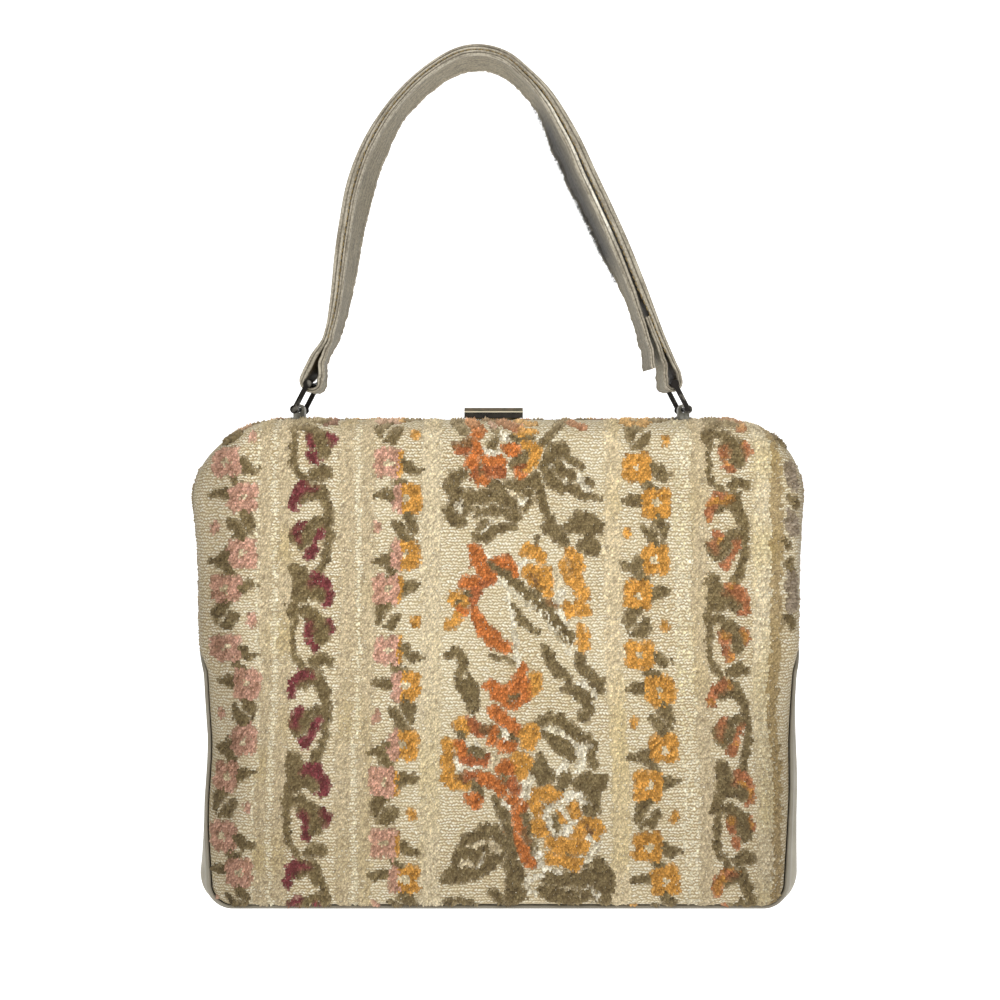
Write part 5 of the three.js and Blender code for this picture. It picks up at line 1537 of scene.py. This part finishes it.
def stitches_piece():
    """Thread along both edges of the outer ply, where it was sewn to the inner one."""
    curve = strap_curve()
    curve = curve[(curve[:, ROW] >= STITCH_ROWS[0]) & (curve[:, ROW] <= STITCH_ROWS[1])]
    shape = shape_at(curve[:, ROW], OUTER)
    along = lengths_along(curve[:, :2])
    columns = (*curve[:, :4].T, curve[:, TWIST], shape[:, 1] + STITCH_LIFT, shape[:, 2])
    one_stitch = strips(len(STITCH_RINGS), STITCH_SIDES, True)
    points, faces = [], []
    for place in np.arange(STITCH_START, along[-1], STITCH_PITCH):
        x, z, in_x, in_z, twist, inward, shift = (np.interp(place, along, column) for column in columns)
        for edge in (-1, 1):
            y = edge * (STRAP_WIDTH / 2 - STITCH_INSET)
            aside = back_shift(y, twist, shift)
            middle = np.array((x + in_x * inward + aside, EYELET_Y + y, z + in_z * inward))
            faces.append(one_stitch + len(STITCH_RINGS) * STITCH_SIDES * len(points))
            points.append(stitch(middle, np.array((-in_z, in_x)), RANDOM.normal(0, STITCH_TILT)))
    return new_mesh("strap_stitches", np.vstack(points), np.vstack(faces))


# Materials


class Surface:
    """A material with a Principled shader, and short ways to add nodes to it."""

    def __init__(self, name, **constants):
        self.material = bpy.data.materials.new(name)
        self.material.use_nodes = True
        self.tree = self.material.node_tree
        self.shader = self.tree.nodes["Principled BSDF"]
        for socket, value in constants.items():
            self.shader.inputs[socket.replace("_", " ")].default_value = value

    def node(self, kind, inputs=None, **settings):
        made = self.tree.nodes.new(kind)
        for key, value in settings.items():
            setattr(made, key, value)
        for key, value in (inputs or {}).items():
            self.put(made.inputs[key], value)
        return made

    def put(self, socket, value):
        if isinstance(value, bpy.types.NodeSocket):
            self.tree.links.new(value, socket)
        else:
            socket.default_value = value

    def math(self, operation, first, second=0.0, third=0.0):
        made = self.node("ShaderNodeMath", {0: first, 1: second, 2: third}, operation=operation)
        return made.outputs[0]

    def noise(self, place, scale, detail):
        made = self.node("ShaderNodeTexNoise", {"Vector": place, "Scale": scale, "Detail": detail})
        return made.outputs["Fac"]

    def place(self):
        return self.node("ShaderNodeTexCoord").outputs["Object"]

    def flat_place(self):
        """The two places on the laid-flat piece, as shares of its UV square."""
        uv = self.node("ShaderNodeUVMap", uv_map="OFBake").outputs[0]
        return self.node("ShaderNodeSeparateXYZ", {0: uv}).outputs[:2]

    def tint(self):
        return self.node("ShaderNodeVertexColor", layer_name="tint").outputs["Color"]

    def times(self, first, second):
        return self.mix(1.0, first, second, "MULTIPLY")

    def stretched(self, first, second, square, length, width):
        """Place for noise with grains of that length and width on a UV square of that side."""
        along = self.math("MULTIPLY", first, square / length)
        aside = self.math("MULTIPLY", second, square / width)
        return self.node("ShaderNodeCombineXYZ", {0: along, 1: aside}).outputs[0]

    def squared(self, value, weight):
        return self.math("MULTIPLY", self.math("POWER", self.math("ABSOLUTE", value), 2.0), weight)

    def ramp(self, value, low, high):
        made = self.node("ShaderNodeMapRange", {"Value": value, "From Min": low, "From Max": high})
        return made.outputs["Result"]

    def mix(self, share, first, second, blend="MIX"):
        """Mix of two colours, by the numbers of the node's colour sockets, because their names repeat."""
        made = self.node("ShaderNodeMix", data_type="RGBA", blend_type=blend)
        for socket, value in ((0, share), (6, first), (7, second)):
            self.put(made.inputs[socket], value)
        return made.outputs[2]

    def bump(self, height, strength, distance):
        made = self.node("ShaderNodeBump", {"Height": height, "Strength": strength, "Distance": distance})
        self.tree.links.new(made.outputs[0], self.shader.inputs["Normal"])

    def colour(self, value):
        self.put(self.shader.inputs["Base Color"], value)


def rgba(colour):
    return (*colour, 1.0)


def tone(red, green, blue):
    return rgba(srgb(red, green, blue))


# Rows of pile fibre as the cloth shows them
FIBRE_LENGTH = 4.2
FIBRE_WIDTH = 1.3

# Stitches of the ground: height of a row and length of a stitch
GROUND_ROW = 1.55
GROUND_STITCH = 1.6


def ground_material():
    """Ribbed satin ground: uneven rows of bright stitches with darker gaps between, partly painted sheen and
    shade.
    """
    s = Surface("tapestry_ground", Roughness=0.75)
    place = s.place()
    across, up = s.flat_place()
    sway = s.noise(place, 210.0, 2.0)
    down = s.math("MULTIPLY", up, CLOTH_SQUARE / GROUND_ROW)
    down = s.math("MULTIPLY_ADD", sway, 1.8, down)
    row = s.math("FLOOR", down)
    shift = s.math("MULTIPLY", s.math("MODULO", row, 2.0), 0.5)
    along = s.math("MULTIPLY_ADD", across, CLOTH_SQUARE / GROUND_STITCH, shift)
    column = s.math("FLOOR", along)
    cell = s.node("ShaderNodeCombineXYZ", {0: column, 1: row}).outputs[0]
    chance = s.node("ShaderNodeTexWhiteNoise", {0: cell}, noise_dimensions="2D")
    drift = s.node("ShaderNodeSeparateXYZ", {0: chance.outputs["Color"]})
    off_x = s.math("SUBTRACT", s.math("FRACT", along), s.math("MULTIPLY_ADD", drift.outputs[0], 0.5, 0.25))
    off_y = s.math("SUBTRACT", s.math("FRACT", down), s.math("MULTIPLY_ADD", drift.outputs[1], 0.3, 0.35))
    slant = s.math("MULTIPLY_ADD", off_x, s.math("MULTIPLY_ADD", shift, 1.2, -0.3), off_y)
    far = s.math("ADD", s.squared(off_x, 2.0), s.squared(slant, 7.0))
    thread = s.ramp(far, 1.0, 0.15)
    stain = s.ramp(s.noise(place, 24.0, 5.0), 0.35, 0.65)
    # The gaps' darker tone is partly painted shade between stitches; the random bright stitches are partly
    # painted sheen
    gap = s.mix(stain, tone(170, 149, 108), tone(190, 172, 134))
    plain = s.mix(stain, tone(232, 215, 175), tone(242, 229, 196))
    bright = s.mix(s.math("POWER", chance.outputs["Value"], 1.5), plain, tone(255, 250, 230))
    s.colour(s.times(s.mix(thread, gap, bright), s.tint()))
    s.bump(thread, 0.8, 0.0005)
    return s.material


def pile_material():
    """Cut pile: the colour of each tuft, with slanted rows of fibre and the soft light of velvet."""
    s = Surface("tapestry_pile", Roughness=0.9, Sheen_Weight=0.08, Sheen_Roughness=0.4)
    tuft = s.tint()
    across, up = s.flat_place()
    along, aside = s.math("ADD", across, up), s.math("SUBTRACT", across, up)
    fibre = s.noise(s.stretched(along, aside, CLOTH_SQUARE, FIBRE_LENGTH, FIBRE_WIDTH), 1.0, 1.0)
    dark = s.times(tuft, rgba((0.6, 0.57, 0.54)))
    bright = s.times(tuft, rgba((1.2, 1.19, 1.15)))
    s.colour(s.mix(s.ramp(fibre, 0.3, 0.7), dark, bright))
    s.bump(fibre, 0.6, 0.0003)
    return s.material


# Lengthwise creases of the strap
CREASE_LENGTH = 11.0
CREASE_WIDTH = 1.1


def vinyl_material(name, light, dark, cell_scale, roughness):
    """Bone vinyl: fine grain, dull patches and grime."""
    s = Surface(name, Roughness=roughness)
    place = s.place()
    patch = s.noise(place, 60.0, 5.0)
    speck = s.noise(place, 900.0, 2.0)
    base = s.mix(s.ramp(patch, 0.3, 0.7), rgba(dark), rgba(light))
    grimy = s.mix(s.math("MULTIPLY", s.ramp(speck, 0.6, 0.75), 0.25), base, rgba(dark * 0.6))
    s.colour(s.times(grimy, s.tint()))
    cells = s.node("ShaderNodeTexVoronoi", {"Vector": place, "Scale": cell_scale}).outputs["Distance"]
    s.bump(s.math("ADD", cells, speck), 0.35, 0.0002)
    return s.material


def strap_material():
    """Worn bone vinyl: the tint of each run, with grime, lengthwise creases and fuzz."""
    s = Surface("strap_vinyl", Roughness=0.62)
    place = s.place()
    tint = s.tint()
    along, across = s.flat_place()
    crease = s.noise(s.stretched(along, across, STRAP_SQUARE, CREASE_LENGTH, CREASE_WIDTH), 1.0, 2.0)
    fuzz = s.noise(place, 900.0, 3.0)
    grime = s.ramp(s.noise(place, 110.0, 5.0), 0.35, 0.7)
    worn = s.mix(s.math("MULTIPLY", grime, 0.3), tint, s.times(tint, rgba((0.72, 0.68, 0.6))))
    rough = s.math("MULTIPLY_ADD", crease, 0.5, s.math("MULTIPLY", fuzz, 0.5))
    dark = s.times(worn, rgba((0.62, 0.6, 0.56)))
    bright = s.times(worn, rgba((1.28, 1.28, 1.26)))
    s.colour(s.mix(s.ramp(rough, 0.41, 0.59), dark, bright))
    s.bump(s.math("ADD", fuzz, crease), 0.7, 0.0005)
    return s.material


def thread_material(name, dark, light):
    s = Surface(name, Roughness=0.8)
    twist = s.noise(s.place(), 2200.0, 2.0)
    s.colour(s.mix(s.ramp(twist, 0.3, 0.7), rgba(dark), rgba(light)))
    return s.material


def metal_material(name, base, bright, roughness, wear):
    """Dulled metal with bright rubbed patches."""
    s = Surface(name, Metallic=1.0)
    place = s.place()
    rub = s.noise(place, 180.0, 4.0)
    s.colour(s.mix(s.ramp(rub, wear, wear + 0.2), rgba(base), rgba(bright)))
    s.put(s.shader.inputs["Roughness"], s.ramp(s.noise(place, 700.0, 3.0), -roughness, 1.4))
    s.bump(s.noise(place, 1500.0, 2.0), 0.15, 0.0002)
    return s.material


def lever_material():
    """Clasp bar: dark front, a painted highlight along its bead and an olive brass top."""
    s = Surface("clasp_bar", Metallic=0.85)
    place = s.place()
    height = s.node("ShaderNodeSeparateXYZ", {0: place}).outputs[2]
    tarnish = s.ramp(s.noise(place, 260.0, 4.0), 0.35, 0.7)
    front = s.mix(tarnish, tone(46, 45, 42), tone(70, 66, 58))
    top = s.mix(tarnish, tone(112, 106, 82), tone(150, 132, 104))
    above = s.math("GREATER_THAN", height, BEAD_TOP_Z * MM)
    bead = s.math("MULTIPLY", s.math("GREATER_THAN", height, BEAD_LOW_Z * MM), s.math("SUBTRACT", 1.0, above))
    # Painted highlight on the bead, between its low and top heights
    s.colour(s.mix(bead, s.mix(above, front, top), tone(246, 236, 206)))
    s.put(s.shader.inputs["Roughness"], s.ramp(s.noise(place, 700.0, 3.0), -0.3, 1.5))
    s.bump(s.noise(place, 1500.0, 2.0), 0.15, 0.0002)
    return s.material


def dress(thing, material):
    """Gives a new piece or a CAD node its finish."""
    thing.data.materials.clear()
    thing.data.materials.append(material)
    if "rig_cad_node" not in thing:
        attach(thing, "bag")


# Pieces

GROUND = ground_material()
PILE = pile_material()
for panel, back in (("tapestry_front", False), ("tapestry_back", True)):
    ground = panel_ground(f"{panel}_ground", back)
    dress(ground, GROUND)
    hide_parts(panel)
    for pile in panel_pile(f"{panel}_pile", back):
        dress(pile, PILE)

GUSSET_VINYL = vinyl_material("gusset_vinyl", srgb(168, 161, 144), srgb(146, 138, 120), 900.0, 0.5)
gusset = gusset_piece()
dress(gusset, GUSSET_VINYL)
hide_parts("gusset")

strap = strap_piece()
dress(strap, strap_material())
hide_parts("handle_strap")
dress(stitches_piece(), thread_material("thread", srgb(104, 86, 52), srgb(164, 142, 96)))
dress(hairs_piece(), thread_material("fibre", srgb(66, 64, 60), srgb(116, 113, 107)))

GUNMETAL = metal_material("gunmetal", srgb(46, 43, 40), srgb(150, 145, 134), 0.3, 0.52)
DARK = metal_material("dark_frame", srgb(60, 54, 46), srgb(110, 100, 84), 0.4, 0.6)
GREY = metal_material("dull_grey", srgb(124, 121, 110), srgb(186, 183, 172), 0.4, 0.5)
BRASS = metal_material("antique_brass", srgb(122, 110, 76), srgb(176, 162, 118), 0.35, 0.55)
for node, material, slot in (
    ("frame_front", DARK, "frame_metal"), ("frame_back", DARK, "frame_metal"),
    ("frame_rivet_left", GREY, "eyelet_metal"), ("frame_rivet_right", GREY, "eyelet_metal"),
    ("eyelet_left", GREY, "eyelet_metal"), ("eyelet_right", GREY, "eyelet_metal"),
    ("link_left", GUNMETAL, "link_metal"), ("link_right", GUNMETAL, "link_metal"),
    ("clasp_base", BRASS, "clasp_metal"), ("clasp_catch", BRASS, "clasp_metal"),
    ("clasp_lever", lever_material(), "clasp_metal"),
):
    dress(NODES[node], material)
dress(lip_piece(), DARK)

# Floor and light

# Floor: height, front edge, where it starts to curve up, radius of the curve and its steps, height of the
# wall and half width
FLOOR_Z = -720.0
FLOOR_FRONT = -3000.0
CURVE_FROM = 1500.0
CURVE_RADIUS = 700.0
CURVE_STEPS = 16
WALL_HEIGHT = 3000.0
FLOOR_HALF = 3500.0
# Lights: name, place in metres, size in metres and watts, all aimed at one place
LIGHTS = [("key", (-0.1, -0.95, 0.85), 0.9, 12.6), ("fill", (0.7, -1.7, 0.0), 1.2, 6.0)]
LIGHTS_AIM = (0.0, 0.0, -0.3)
WORLD_STRENGTH = 0.27
WHITE = (1, 1, 1, 1)
SENSOR_WIDTH = 36.0


def backdrop():
    """Pale floor that curves up into a wall behind."""
    turn = np.radians(np.linspace(0, 90, CURVE_STEPS))
    y = np.concatenate(([FLOOR_FRONT], CURVE_FROM + CURVE_RADIUS * np.sin(turn), [CURVE_FROM + CURVE_RADIUS]))
    z = np.concatenate(([0.0], CURVE_RADIUS * (1 - np.cos(turn)), [WALL_HEIGHT])) + FLOOR_Z
    points = [(x, b, c) for b, c in zip(y, z) for x in (-FLOOR_HALF, FLOOR_HALF)]
    thing = new_mesh("floor", points, strips(len(y), 2, False))
    s = Surface("pale_floor", Roughness=0.9, Emission_Color=WHITE, Emission_Strength=0.72)
    s.colour(tone(247, 247, 246))
    thing.data.materials.append(s.material)


def area_light(name, place, size, watts):
    data = bpy.data.lights.new(name, "AREA")
    data.energy = watts
    data.size = size
    lamp = bpy.data.objects.new(name, data)
    bpy.context.scene.collection.objects.link(lamp)
    lamp.location = place
    way = np.array(LIGHTS_AIM) - np.array(place)
    tilt = math.atan2(math.hypot(way[0], way[1]), -way[2])
    lamp.rotation_euler = (tilt, 0, math.atan2(way[0], -way[1]) + math.pi)


backdrop()
world = bpy.data.worlds.new("studio")
bpy.context.scene.world = world
world.use_nodes = True
world.node_tree.nodes["Background"].inputs["Color"].default_value = WHITE
world.node_tree.nodes["Background"].inputs["Strength"].default_value = WORLD_STRENGTH
for light in LIGHTS:
    area_light(*light)

camera = bpy.data.objects.new("camera", bpy.data.cameras.new("camera"))
bpy.context.scene.collection.objects.link(camera)
camera.location = np.array(CAMERA_AT) * MM
camera.rotation_euler = (math.pi / 2 - CAMERA_PITCH, 0, 0)
camera.data.sensor_width = SENSOR_WIDTH
camera.data.lens = SENSOR_WIDTH * FOCAL / PICTURE
camera.data.clip_start = 0.01
bpy.context.scene.camera = camera
bpy.context.scene.view_settings.view_transform = "Standard"
